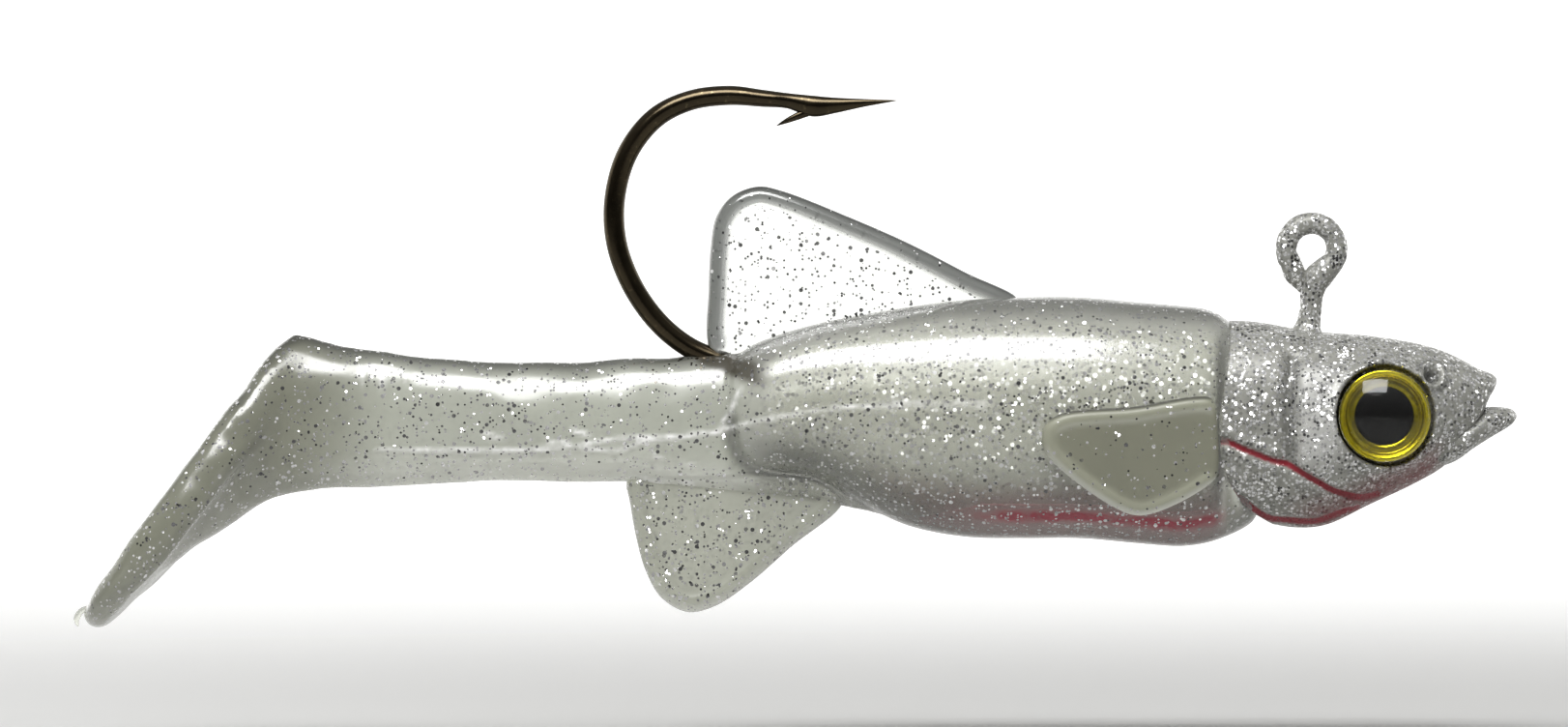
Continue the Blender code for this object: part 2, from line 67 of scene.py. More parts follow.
STUDIO_SIDES = 96
STUDIO_OPEN = (200, 340)       # the wall is left out on the camera's side, between these angles
KEY_SUN = (0.25, 30)           # strength, and width in degrees
SOFTBOX_SIZE = (0.24, 0.15)
SOFTBOX_ENERGY = 1.4
SOFTBOX_DISTANCE = 0.36
# Surroundings: strength along an axis of the view's direction, from and to
WORLD_LIGHT = (("Z", -0.1, 1.0, 0.14, 0.5), ("Y", -0.9, 0.1, 0.35, 1.0))

# Body sections: x, top z, bottom z, half width
BODY_STATIONS = (
    (-3.9, -7, -18.85, 4.5), (-4.8, -6, -19.45, 4.95), (-6, -4.85, -20, 5.4), (-7.2, -4.25, -20.4, 5.8),
    (-9, -4, -20.65, 6.1), (-12, -3.75, -20.45, 6.4), (-16, -3.4, -20.1, 6.6), (-20, -3.4, -20.1, 6.6),
    (-24, -3.6, -20, 6.3), (-28, -4.1, -19.2, 5.8), (-31, -4.6, -17.8, 5.3), (-34, -5.2, -16.4, 4.8),
    (-37, -6.05, -15.75, 4.5), (-39, -6.9, -15.2, 4), (-40.1, -8, -13.9, 3.1), (-40.5, -9.6, -12.4, 1.4),
)
BODY_POWER = 2.3
STEM_STATIONS = (
    (-27, -9, -19.1, 1.8), (-32.7, -8.6, -17.85, 2.3), (-36, -8, -17.45, 2.4), (-40, -7.25, -17, 2.5),
    (-44, -7.5, -16.6, 2.5), (-47.4, -7.68, -16.25, 2.5), (-54, -7.95, -16.2, 2.45),
    (-58, -7.82, -16.2, 2.4), (-62, -7.42, -16.35, 2.4),
)
STEM_POWER = 2.05
# Where the stem turns into the paddle its sections fan round: top x, top z, bottom x, bottom z, half width
FAN_STATIONS = (
    (-62, -7.42, -62, -16.35, 2.4), (-67, -6.75, -67.5, -16.7, 2.4), (-69.2, -6.2, -71.5, -17.25, 2.7),
    (-70.4, -5.95, -75, -19.3, 3.4), (-71, -6.5, -79, -22, 4.4), (-71.6, -7.4, -82.9, -24.6, 5.4),
)
PADDLE_TOP = (-71.2, -6.1)
PADDLE_TIP = (-84.95, -25.1)
PADDLE_THICKNESS = 3.1
PADDLE_WIDTHS = (
    (0, 0.6), (0.6, 1.9), (3.5, 3.3), (9, 5.4), (14, 6.4), (18.5, 6.2), (22, 4.6), (23.7, 2.4), (24.2, 0.6),
)

# Leaf of flash on the paddle's tip: x, z, radius
TAG_ROUTE = ((-84.3, -24.8, 0.16), (-85.15, -25.15, 0.2), (-85.45, -25.7, 0.2), (-85.35, -26.2, 0.05))
TAG_FLAT = 0.35

# The clear skin clouds over into the stem, and darkens into the thick boot: x from and to
STEM_FADE = (-35.5, -41)
STEM_CLARITY = 0.22
STEM_TINT = (0.47, 0.485, 0.42, 1)
BOOT_FADE = (-62, -71)
BOOT_TINT = (0.25, 0.255, 0.20, 1)
BOOT_MELT = (-65, -72)         # extra smoothing of the paddle into the stem, from none to full
VOXEL, QUICK_VOXEL = 0.3, 0.5
SOFTEN_ROUNDS, MELT_ROUNDS = 7, 30

# Glitter core and belly stripe inside the clear body
SKIN = 1.2
SKIN_TOP = 2.3
CORE_X = (-7.1, -39.5)
STRIPE_X = (-7.3, -27)
STRIPE_RISE = (0.05, 1.6)      # lower and upper edge above the core's keel
STRIPE_PROUD = 0.14            # how far it stands out of the core, and how far its upper edge is drawn in
STRIPE_INSET = 0.5

# Crease under the body's rounded rear end, cut in and darkened with painted shade, and pale mould lines
# raised on the stem: x, z
BULB_CREASE = (
    (-40.2, -12), (-40.2, -13.2), (-39.9, -14.2), (-39.3, -15), (-38.4, -15.5), (-37.2, -15.8),
    (-35.5, -15.9), (-33.5, -16.1), (-31.5, -16.4),
)
MOULD_LINES = (
    ((-65, -13.9), (-58, -14), (-52, -13.8), (-48, -13.2), (-43, -12.95), (-40.8, -12.6),
     (-38.6, -12), (-36.3, -11.55), (-32.9, -11.05), (-28.7, -10.8), (-22, -10.8)),
    ((-53, -13.3), (-48, -13.95), (-46, -13.3), (-43, -13)),
    ((-40.9, -12.3), (-40.3, -11.4), (-39.8, -10.4), (-39.2, -9.4)),
    ((-46, -14.2), (-44.6, -14.6)), ((-43.6, -14.8), (-42.3, -15.15)),
    ((-46.8, -15.75), (-45.6, -16.1), (-44.3, -16.3)), ((-44.1, -16.2), (-42.3, -16.4)),
    ((-57.5, -12.7), (-55.6, -13.15)), ((-51.5, -12.4), (-49.6, -13.1)),
    ((-65.7, -8.3), (-65.6, -9.7)), ((-64.3, -8.4), (-64.2, -9.9)), ((-62.6, -8.4), (-62.5, -9.5)),
)
WAVES = 0.15                   # height of the waves in the stem's surface
HOOK_WINDOW = ((-41.8, -7.5), (-40.2, -8.1), (-38, -8.8))

HEAD_STATIONS = (
    (-7, -5, -18.6, 5.5), (-4, -5.1, -18.9, 5.75), (-1, -5.6, -19.35, 5.8), (1, -5.85, -19.15, 5.7),
    (4, -6.08, -17.75, 5.3), (7, -6.55, -16.35, 4.6), (9, -7.1, -15.2, 4), (10.5, -7.8, -13.8, 3.3),
    (11.5, -8.35, -12.2, 2.7), (12.2, -8.6, -10.5, 2), (12.6, -8.8, -9.8, 1.3), (12.78, -9, -9.4, 0.5),
)
HEAD_POWER = 2.3
JAW_STATIONS = (
    (7.4, -12.8, -15.9, 3.2), (8.4, -12.6, -15.35, 3.2), (10, -12.1, -14.72, 3), (11, -11.7, -14, 2.8),
    (12, -11.05, -13.35, 2.4), (13, -11, -12.75, 1.9), (13.8, -11.15, -12.25, 1.2),
    (14.15, -11.45, -11.8, 0.4),
)
# Rear edge of the head, down the gill cover: x, z
GILL_EDGE = (
    (-5.5, -3), (-5.75, -6), (-6.35, -10), (-6.65, -12.5), (-6.25, -15.5), (-4.9, -17.8), (-2.7, -19.1),
    (-1.5, -19.9),
)
# Lines cut in the head and painted red: x, z
GILL_LINES = (
    ((-6.7, -13.4), (-6.1, -13.4), (-5.2, -13.8), (-4.2, -14.2), (-3.2, -14.6), (-2.2, -14.85),
     (-1.4, -15.25), (-0.6, -15.75), (0.2, -16.2), (1, -16.65), (2, -17), (3, -17.2), (3.8, -17.15),
     (4.4, -17)),
    ((-6.4, -15.9), (-5.8, -16.8), (-5, -17.4), (-4, -18.2), (-3, -18.7), (-2, -18.8), (0, -18.9),
     (1, -18.6), (2, -18.2), (3, -17.9)),
)
CHEEK_GROOVE = ((-1.6, -7.8), (-1.9, -9.5), (-2, -12), (-1.8, -14.4))
EYE = (4.7, -11.6)
EYE_RADIUS = 3.25
EYE_SEAT_Y = 3.9
EYE_GAP = 0.02
# Section of the stepped gold ring: rise from the seat, radius
RING_PROFILE = (
    (0, 1.9), (0, 3.17), (0.75, 3.17), (0.9, 3.08), (0.94, 2.95), (0.9, 2.72), (0.7, 2.58),
    (0.42, 2.52), (0.40, 2.42), (0.50, 2.36), (0.34, 1.98), (0.3, 1.9),
)
DOME_RISE = 1.15
DOME_RADIUS = 3.14
PUPIL_RADIUS = 1.97
EYE_SIDES = 72
NOSTRIL = (8, -8.85)

# Hook: shank and bend (x, z), point and barb (x, z, wire radius)
WIRE_RADIUS = 0.73
RING_RADIUS = 1.75
RING_WIRE = 0.74
RING_END = ((-0.62, -3, 0.2), (-0.82, -2.5, 0.5), (-1.12, -1.9, RING_WIRE))
RING_LEG = (
    (0.74, -1.72, 0.95), (0.28, -2.25, 0.98), (0.06, -3, 0.82), (-0.05, -4.2, 0.76), (-0.2, -5.2, 0.85),
    (-0.3, -5.9, 1.15), (-0.4, -6.8, 1.5),
)
SHANK_Z = -9.6
HOOK_BEND = (
    (-8, SHANK_Z), (-20, SHANK_Z), (-29, SHANK_Z), (-34, -9.35), (-38.5, -8.5), (-41.2, -7.7),
    (-43.2, -6.8), (-45.2, -5.15), (-47, -2.6), (-48.1, 0.4), (-48.2, 3.5), (-47.3, 6.6), (-45.4, 9),
)
HOOK_POINT = (
    (-43, 10.2, 0.7), (-40.3, 10.55, 0.68), (-38, 10.35, 0.6), (-36.2, 10.17, 0.54), (-35.2, 9.95, 0.66),
    (-34.4, 9.8, 0.73), (-33, 9.86, 0.55), (-31, 10.03, 0.28), (-29.2, 10.16, 0.08), (-28.7, 10.2, 0.02),
)
BARB = ((-34.7, 9.45, 0.3), (-35.6, 9.1, 0.26), (-36.4, 8.75, 0.16), (-37, 8.46, 0.03))
BARB_FLAT = 0.7

# Fins: outlines (x, z), and half thicknesses of rim and middle
DORSAL_AXIS = ((-39.6, -5.75), (-21.6, -3))
DORSAL_OUTLINE = (
    (-41, -7.9), (-41.8, -6.6), (-41.75, -3), (-41.6, 0), (-41.2, 2.2), (-40.1, 3.6), (-38.3, 4.27),
    (-36.6, 3.95), (-32, 2.15), (-28, 0.4), (-24, -1.65), (-20.2, -3.7), (-22, -5), (-32, -6.6),
)
ANAL_AXIS = ((-46.6, -16.65), (-33.8, -18.05))
ANAL_OUTLINE = (
    (-46.4, -15.4), (-47.4, -16.1), (-47.2, -17.5), (-46.75, -20), (-46.1, -22.3), (-45, -24.2),
    (-43.2, -25.2), (-41.3, -24.8), (-39, -23.3), (-36, -20.7), (-32.4, -17.5), (-33.6, -16),
)
PECTORAL_HINGE = (-7.5, 6.8, -13)
PECTORAL_OUTLINE = (
    (-6.95, -10.9), (-7.4, -10.3), (-8.6, -10.25), (-12.5, -10.9), (-17.6, -11.4), (-18.7, -12.2),
    (-18.9, -13.5), (-18.2, -14.7), (-13.9, -17.9), (-12.3, -18.45), (-10.6, -18.1), (-7.5, -16.4),
    (-6.9, -15.7),
)
OUTLINE_STEPS = 10             # points on the curve between two of an outline's points
PECTORAL_LEAN = math.radians(8)
PECTORAL_YAW = math.radians(3)


# ---- shapes

def spline(points, steps):
    """Points on a centripetal Catmull-Rom curve through the given points, steps to each span."""
    knots = [np.array(point, dtype=float) for point in points]
    knots = [2 * knots[0] - knots[1]] + knots + [2 * knots[-1] - knots[-2]]
    t = np.arange(steps)[:, None] / steps
    curve = []
    for before, start, end, after in zip(knots, knots[1:], knots[2:], knots[3:]):
        pairs = ((before, start), (start, end), (end, after))
        gap_in, gap, gap_out = (float(np.linalg.norm(b - a)) ** 0.5 for a, b in pairs)
        leave = gap * ((start - before) / gap_in - (end - before) / (gap_in + gap) + (end - start) / gap)
        arrive = gap * ((end - start) / gap - (after - start) / (gap + gap_out) + (after - end) / gap_out)
        curve.append(
            start * (1 + 2 * t) * (1 - t) ** 2 + leave * t * (1 - t) ** 2
            + end * t * t * (3 - 2 * t) - arrive * t * t * (1 - t)
        )
    return np.vstack(curve + [knots[-2]])


def table_at(rows, x, steps=12):
    """The columns of a station table at x, read off its spline."""
    curve = spline(rows, steps)
    curve = curve[np.argsort(curve[:, 0])]
    return [np.interp(x, curve[:, 0], curve[:, column]) for column in range(1, curve.shape[1])]


def superellipse(sides, power):
    """Across and along shares of a superellipse's points."""
    angle = 2 * np.pi * (np.arange(sides) + 0.5) / sides
    return [np.sign(share) * np.abs(share) ** (2 / power) for share in (np.cos(angle), np.sin(angle))]


def fan_rings(rows, sides, power):
    """Rings standing on a line from top to bottom that may lean in the middle plane."""
    across, along = superellipse(sides, power)
    top_x, top_z, bottom_x, bottom_z, width = np.array(rows, float).T[:, :, None]
    x = (top_x + bottom_x) / 2 + (top_x - bottom_x) / 2 * along
    z = (top_z + bottom_z) / 2 + (top_z - bottom_z) / 2 * along
    return np.stack([x, width * across, z], axis=2)


def upright_rings(rows, sides, power):
    """Rings (x, y, z) from rows of x, top z, bottom z and half width."""
    return fan_rings([(x, top, x, bottom, width) for x, top, bottom, width in rows], sides, power)


def band(low, high, sides):
    """The faces between two rows of a ring grid."""
    low, high = low * sides, high * sides
    ahead = [(side + 1) % sides for side in range(sides)]
    return [(low + side, low + after, high + after, high + side) for side, after in enumerate(ahead)]


def lofted(rings):
    """Points and faces of a closed loft through rings of equal point count."""
    count, sides = rings.shape[:2]
    points = rings.reshape(-1, 3)
    faces = [face for row in range(count - 1) for face in band(row, row + 1, sides)]
    faces += [tuple(range(sides)), tuple(range((count - 1) * sides, count * sides))]
    return points, faces


def turned(profile, segments):
    """Points and faces of a solid turned about the Y axis from profile points of y and radius."""
    angle = 2 * np.pi * np.arange(segments) / segments
    return lofted(np.array([
        np.stack([radius * np.cos(angle), np.full(segments, y), radius * np.sin(angle)], axis=1)
        for y, radius in profile
    ]))


def swept(route, sides, flat=1.0):
    """Rings of a wire along route (x, z, radius) in the middle plane; flat scales the rings across it."""
    path = np.array(route)
    along = np.gradient(path[:, :2], axis=0)
    along /= np.linalg.norm(along, axis=1)[:, None]
    angle = 2 * np.pi * np.arange(sides) / sides
    x, z, radius = path.T[:, :, None]
    out = radius * np.cos(angle)
    depth = radius * np.reshape(flat, (-1, 1)) * np.sin(angle)
    return np.stack([x - out * along[:, 1:], depth, z + out * along[:, :1]], axis=2)


def linked(name, data):
    """A new object in the scene."""
    obj = bpy.data.objects.new(name, data)
    bpy.context.scene.collection.objects.link(obj)
    return obj


def mesh_object(name, points, faces):
    """An object in metres from points in millimetres, with its normals outwards."""
    mesh = bpy.data.meshes.new(name)
    mesh.from_pydata((np.asarray(points) * MM).tolist(), [], faces)
    bm = bmesh.new()
    bm.from_mesh(mesh)
    bmesh.ops.recalc_face_normals(bm, faces=bm.faces)
    bm.to_mesh(mesh)
    bm.free()
    mesh.shade_smooth()
    return linked(name, mesh)


def joined(parts):
    """Several (points, faces) as one."""
    points, faces, offset = [], [], 0
    for part_points, part_faces in parts:
        points.append(np.asarray(part_points))
        faces += [tuple(index + offset for index in face) for face in part_faces]
        offset += len(part_points)
    return np.concatenate(points), faces


def settle(obj):
    """Apply obj's modifiers to its mesh."""
    bpy.context.view_layer.update()
    shaped = obj.evaluated_get(bpy.context.evaluated_depsgraph_get())
    mesh = bpy.data.meshes.new_from_object(shaped)
    obj.modifiers.clear()
    obj.data = mesh


def points_of(obj):
    """The mesh's points, in metres."""
    return np.array([vert.co[:] for vert in obj.data.vertices])


def weigh(obj, name, values):
    """Store a number on each point of the mesh for its material."""
    attribute = obj.data.attributes.new(name, "FLOAT", "POINT")
    attribute.data.foreach_set("value", np.asarray(values, np.float32))


def distance_to_line(points, line):
    """Distance in the middle plane from points (x, z) to a polyline."""
    line = np.asarray(line, float)
    best = np.full(len(points), 1e9)
    for start, end in zip(line, line[1:]):
        step = end - start
        share = np.clip(((points - start) @ step) / (step @ step), 0, 1)
        best = np.minimum(best, np.linalg.norm(points - start - share[:, None] * step, axis=1))
    return best


def smoothstep(value, low, high):
    """0 below low, 1 above high, smooth between."""
    t = np.clip((value - low) / (high - low), 0, 1)
    return t * t * (3 - 2 * t)


def bell(value, middle, width):
    """1 at the middle, falling away to both sides."""
    return np.exp(-((value - middle) / width) ** 2)


def plate(outline, rim, middle, rim_width=1.1, grid=0.55):
    """A closed plate in the middle plane with a round raised rim, except where its root is sunk in the body.

    The outline starts and ends with the points of the root. rim and middle are half thicknesses.
    """
    edge = even_loop(spline([*outline, outline[0]], OUTLINE_STEPS)[:-1], 0.3)
    closed = np.vstack([edge, edge[:1]])
    inward = loop_inward(edge)
    placed = [edge]
    for depth in (0.08, 0.2, 0.38, 0.6, 0.85, 1.1, 1.35, 1.65):
        ring = edge + inward * depth
        placed.append(ring[distance_to_line(ring, closed) > depth * 0.96])
    low, high = edge.min(axis=0), edge.max(axis=0)
    across, up = np.meshgrid(np.arange(low[0], high[0], grid), np.arange(low[1], high[1], grid))
    field = np.stack([across.ravel(), up.ravel()], axis=1)
    field = field[inside_loop(field, edge)]
    placed.append(field[distance_to_line(field, closed) > 1.95])
    flat = np.concatenate(placed)
    count = len(edge)
    border = [(index, (index + 1) % count) for index in range(count)]
    points, _, triangles, *_ = geometry.delaunay_2d_cdt(
        [Vector(point) for point in flat], border, [], 1, 0.0001
    )
    flat = np.array([tuple(point) for point in points])
    depth = distance_to_line(flat, closed)
    on_edge = depth < 0.001
    free = distance_to_line(flat, free_edge(outline))
    bead = rim + (middle - rim) * smoothstep(free, rim_width - 0.25, rim_width + 0.35)
    half = bead * np.sqrt(1 - (1 - np.clip(depth / bead, 0, 1)) ** 2)
    half = np.where(on_edge, 0.0, half)
    front, back = (np.stack([flat[:, 0], y, flat[:, 1]], axis=1) for y in (-half, half))
    total = len(flat)
    index_back = np.where(on_edge, np.arange(total), np.arange(total) + total)
    faces = [tuple(face) for face in triangles]
    faces += [tuple(int(index_back[index]) for index in reversed(face)) for face in triangles]
    return np.concatenate([front, back]), faces


def free_edge(outline):
    """The part of a fin's outline that stands clear of the body."""
    return spline([*outline, outline[0]], OUTLINE_STEPS)[OUTLINE_STEPS:-2 * OUTLINE_STEPS]


def even_loop(loop, gap):
    """A closed loop resampled at even gaps."""
    closed = np.vstack([loop, loop[:1]])
    lengths = np.concatenate([[0], np.cumsum(np.linalg.norm(np.diff(closed, axis=0), axis=1))])
    at = np.linspace(0, lengths[-1], int(lengths[-1] / gap) + 1)[:-1]
    return np.stack([np.interp(at, lengths, closed[:, column]) for column in range(closed.shape[1])], axis=1)


def loop_inward(loop):
    """Unit directions into a closed loop."""
    along = np.roll(loop, -1, axis=0) - np.roll(loop, 1, axis=0)
    along /= np.linalg.norm(along, axis=1)[:, None]
    area = np.sum(loop[:, 0] * np.roll(loop[:, 1], -1) - np.roll(loop[:, 0], -1) * loop[:, 1])
    return np.stack([-along[:, 1], along[:, 0]], axis=1) * np.sign(area)


def inside_loop(points, loop):
    """Which points lie inside a closed loop."""
    x, z = points[:, :1], points[:, 1:]
    ahead = np.roll(loop, -1, axis=0)
    crosses = (loop[:, 1] > z) != (ahead[:, 1] > z)
    with np.errstate(divide="ignore", invalid="ignore"):
        at = loop[:, 0] + (z - loop[:, 1]) / (ahead[:, 1] - loop[:, 1]) * (ahead[:, 0] - loop[:, 0])
    return np.sum(crosses & (x < at), axis=1) % 2 == 1


# ---- materials

class Nodes:
    """A short way to write the node tree of a material, or of the world."""

    def __init__(self, name, world=None):
        self.owner = world or bpy.data.materials.new(name)
        self.owner.use_nodes = True
        self.tree = self.owner.node_tree
        self.tree.nodes.clear()
        self.output = self.add("OutputWorld" if world else "OutputMaterial")
        self.coordinates = self.add("TexCoord")

    def add(self, kind, inputs=None, **settings):
        """A node; inputs are values or sockets by input name or number."""
        made = self.tree.nodes.new("ShaderNode" + kind)
        for key, value in settings.items():
            setattr(made, key, value)
        for key, value in (inputs or {}).items():
            if isinstance(value, bpy.types.NodeSocket):
                self.tree.links.new(value, made.inputs[key])
            else:
                made.inputs[key].default_value = value
        return made

    def mark(self, name):
        """A number stored on the mesh's points."""
        return self.add("Attribute", attribute_name=name).outputs["Fac"]

    def grey(self, red, blue=None):
        """A grey colour from a number, with its own blue if given."""
        return self.add("CombineColor", {0: red, 1: red, 2: red if blue is None else blue}).outputs[0]

    def math(self, operation, a, b=0.0, c=None):
        """The result of a Math node."""
        inputs = {0: a, 1: b}
        if c is not None:
            inputs[2] = c
        return self.add("Math", inputs, operation=operation).outputs[0]

    def times(self, a, b):
        """a times b."""
        return self.math("MULTIPLY", a, b)

    def line(self, value, slope, offset):
        """value times slope, plus offset."""
        return self.math("MULTIPLY_ADD", value, slope, offset)

    def mix(self, factor, a, b):
        """A colour between a and b."""
        return self.add("Mix", {0: factor, 6: a, 7: b}, data_type="RGBA").outputs[2]

    def blend(self, factor, a, b):
        """A number between a and b."""
        return self.add("Mix", {0: factor, 2: a, 3: b}, data_type="FLOAT").outputs[0]

    def ramp(self, value, low, high):
        """0 at low and 1 at high, smooth between."""
        limits = {0: value, 1: low, 2: high, 3: 0.0, 4: 1.0}
        return self.add("MapRange", limits, interpolation_type="SMOOTHSTEP").outputs[0]

    def scaled(self, colour, factor):
        """A colour times a number."""
        if isinstance(colour, tuple):
            colour = colour[:3]
        return self.add("VectorMath", {0: colour, 3: factor}, operation="SCALE").outputs[0]

    def place(self, shift=(0, 0, 0)):
        """Object coordinates, moved by a shift in metres."""
        if not any(shift):
            return self.coordinates.outputs["Object"]
        moved = self.add("VectorMath", {0: self.coordinates.outputs["Object"], 1: shift}, operation="ADD")
        return moved.outputs[0]

    def noise(self, size, detail=2.0, shift=(0, 0, 0)):
        """Noise from 0 to 1 with features about size millimetres across."""
        made = self.add("TexNoise", {"Vector": self.place(shift), "Scale": 1 / (size * MM), "Detail": detail})
        return made.outputs["Fac"]

    def flakes(self, size, share, reach=0.42, shift=(0, 0, 0)):
        """Glitter flakes on a grid of size millimetres: mask, a random number, and a random direction."""
        cells = self.add("TexVoronoi", {"Vector": self.place(shift), "Scale": 1 / (size * MM)})
        split = self.add("SeparateColor", {0: cells.outputs["Color"]})
        chosen = self.math("LESS_THAN", split.outputs[0], share)
        near = self.math("LESS_THAN", cells.outputs["Distance"], reach)
        return self.times(chosen, near), split.outputs[1], cells.outputs["Color"]

    def tilted(self, direction, amount, mask):
        """The surface normal, turned at random by the flake it is on."""
        centred = self.add("VectorMath", {0: direction, 1: (0.5, 0.5, 0.5)}, operation="SUBTRACT").outputs[0]
        turn = self.scaled(centred, self.times(mask, amount))
        normal = self.add("NewGeometry").outputs["Normal"]
        summed = self.add("VectorMath", {0: normal, 1: turn}, operation="ADD").outputs[0]
        return self.add("VectorMath", {0: summed}, operation="NORMALIZE").outputs[0]

    def bump(self, height, strength, distance, normal=None):
        """A normal bumped by height."""
        made = self.add("Bump", {"Height": height, "Strength": strength, "Distance": distance * MM})
        if normal is not None:
            self.tree.links.new(normal, made.inputs["Normal"])
        return made.outputs[0]

    def finish(self, inputs, shadow=None):
        """The Principled surface; shadow is the tint of the light that passes through to what lies behind."""
        shader = self.add("BsdfPrincipled", inputs)
        surface = shader.outputs[0]
        if shadow is not None:
            path = self.add("LightPath")
            clear = self.add("BsdfTransparent", {0: (*shadow, 1)})
            mixed = self.add("MixShader", {0: path.outputs["Is Shadow Ray"], 1: surface, 2: clear.outputs[0]})
            surface = mixed.outputs[0]
        self.tree.links.new(surface, self.output.inputs["Surface"])
        return self.owner


def plastisol(name, tint, clarity, silver=0.22, rough=0.2, shadow=0.8, tail=False, rim=None, coat=0.85):
    """Soft clear plastic with glitter in it, with painted shade where it faces up and a painted glow
    underneath.

    tail turns the body's clear skin into the stem's cloudy plastic along X. rim is the colour and clarity of
    a fin's thick edge; its colour is painted light and shade for what the thick edge bends in from round it.
    """
    n = Nodes(name)
    large, level, direction = n.flakes(0.38, silver * 0.75, reach=0.38)
    fine, fine_level, _ = n.flakes(0.22, silver, reach=0.40, shift=(0.013, 0.005, 0.002))
    dark, _, _ = n.flakes(0.25, 0.03, reach=0.34, shift=(0.003, 0.011, 0.007))
    silvered = n.math("MAXIMUM", large, fine)
    flake = n.grey(n.line(n.times(level, fine_level), 0.7, 0.45))
    body_tint, body_clarity = (*tint, 1), clarity
    if tail:
        along = n.add("SeparateXYZ", {0: n.place()}).outputs[0]
        stem = n.ramp(along, STEM_FADE[0] * MM, STEM_FADE[1] * MM)
        boot = n.ramp(along, BOOT_FADE[0] * MM, BOOT_FADE[1] * MM)
        body_tint = n.mix(boot, n.mix(stem, body_tint, STEM_TINT), BOOT_TINT)
        body_clarity = n.blend(stem, clarity, STEM_CLARITY)
    if rim is not None:
        # A fin's rim colour is painted light and shade.
        edge = n.mark("rim")
        body_tint = n.mix(edge, body_tint, (*rim[0], 1))
        body_clarity = n.blend(edge, clarity, rim[1])
    facing = n.add("SeparateXYZ", {0: n.add("NewGeometry").outputs["Normal"]}).outputs[2]
    upward = n.ramp(facing, 0.40, 0.92)
    painted_underglow = n.ramp(facing, -0.12, -0.8)
    cloud = n.line(n.noise(4.0, 3.0), 0.24, 0.86)
    # Painted shade: the surfaces that face up are darkened.
    cloud_and_top_shade = n.times(cloud, n.line(upward, -0.80, 1.0))
    base = n.scaled(body_tint, cloud_and_top_shade)
    gloss = n.line(upward, -0.7 * coat, coat)
    if tail:
        painted_underglow = n.times(painted_underglow, n.line(boot, -0.7, n.blend(stem, 0.12, 1.0)))
    # Painted glow: the surfaces that face down are paled.
    base = n.mix(n.times(painted_underglow, 0.8), base, (0.90, 0.91, 0.84, 1))
    if tail:
        # Painted shade darkens the crease under the body's rear end.
        base = n.scaled(base, n.line(n.mark("crease"), -0.6, 1.0))
        patchy = n.line(n.ramp(n.noise(0.9, 2.0), 0.35, 0.65), 0.6, 0.4)
        pale = n.times(n.mark("pale"), patchy)
        base = n.mix(pale, base, (1.0, 1.0, 0.98, 1))
        window = n.times(n.mark("window"), 0.9)
        base = n.mix(window, base, (0.035, 0.028, 0.016, 1))
        dull = n.times(stem, n.ramp(n.noise(5.0, 2.0), 0.60, 0.42))
        gloss = n.times(gloss, n.line(dull, -0.7, 1.0))
        red_tint = n.times(n.mark("red_tint"), n.line(n.noise(0.8, 3.0), 0.9, 0.6))
        base = n.mix(red_tint, base, (0.40, 0.010, 0.040, 1))
        cover = n.math("MAXIMUM", n.math("MAXIMUM", pale, window), n.times(red_tint, 0.7))
        body_clarity = n.times(body_clarity, n.line(cover, -0.85, 1.0))
    colour = n.mix(dark, n.mix(silvered, base, flake), (0.02, 0.02, 0.02, 1))
    solid = n.math("MAXIMUM", silvered, dark)
    body_clarity = n.times(body_clarity, n.line(upward, -0.6, 1.0))
    through = n.times(n.math("SUBTRACT", 1.0, solid), body_clarity)
    normal = n.bump(n.noise(1.1, 3.0), 0.25, 0.05, n.tilted(direction, 1.1, silvered))
    return n.finish({
        "Base Color": colour, "Metallic": silvered, "Roughness": n.blend(silvered, rough, 0.14),
        "Transmission Weight": through, "IOR": 1.45, "Normal": normal,
        "Coat Weight": gloss, "Coat Roughness": 0.2, "Coat IOR": 1.6,
    }, shadow=(shadow, shadow, shadow))


def glitter_core():
    """Soft plastic packed with fine silver glitter."""
    n = Nodes("core_glitter")
    large, level, direction = n.flakes(0.30, 0.55, reach=0.48)
    dark, _, _ = n.flakes(0.26, 0.10, reach=0.4, shift=(0.004, 0.009, 0.001))
    flake = n.grey(n.line(level, 0.55, 0.35))
    base = n.mix(n.noise(3.0, 3.0), (0.32, 0.325, 0.28, 1), (0.45, 0.455, 0.40, 1))
    # Dark red towards the core's keel: partly the plastic's own red, partly painted shade under the belly.
    red_tint = n.times(n.mark("blush_and_shade"), n.line(n.noise(1.2, 3.0), 0.9, 0.2))
    colour = n.mix(dark, n.mix(large, base, flake), (0.04, 0.04, 0.035, 1))
    colour = n.mix(red_tint, colour, (0.20, 0.03, 0.03, 1))
    normal = n.tilted(direction, 0.9, large)
    return n.finish({
        "Base Color": colour, "Metallic": n.times(large, 0.75), "Roughness": 0.32, "Normal": normal,
    })


def red_stripe():
    """Soft dark red plastic with a little glitter."""
    n = Nodes("stripe_red")
    bright, _, direction = n.flakes(0.3, 0.15)
    base = n.mix(n.noise(1.5, 3.0), (0.13, 0.003, 0.008, 1), (0.30, 0.010, 0.022, 1))
    colour = n.mix(bright, base, (0.7, 0.5, 0.5, 1))
    return n.finish({
        "Base Color": colour, "Metallic": n.times(bright, 0.7), "Roughness": 0.35,
        "Normal": n.tilted(direction, 0.8, bright),
    })


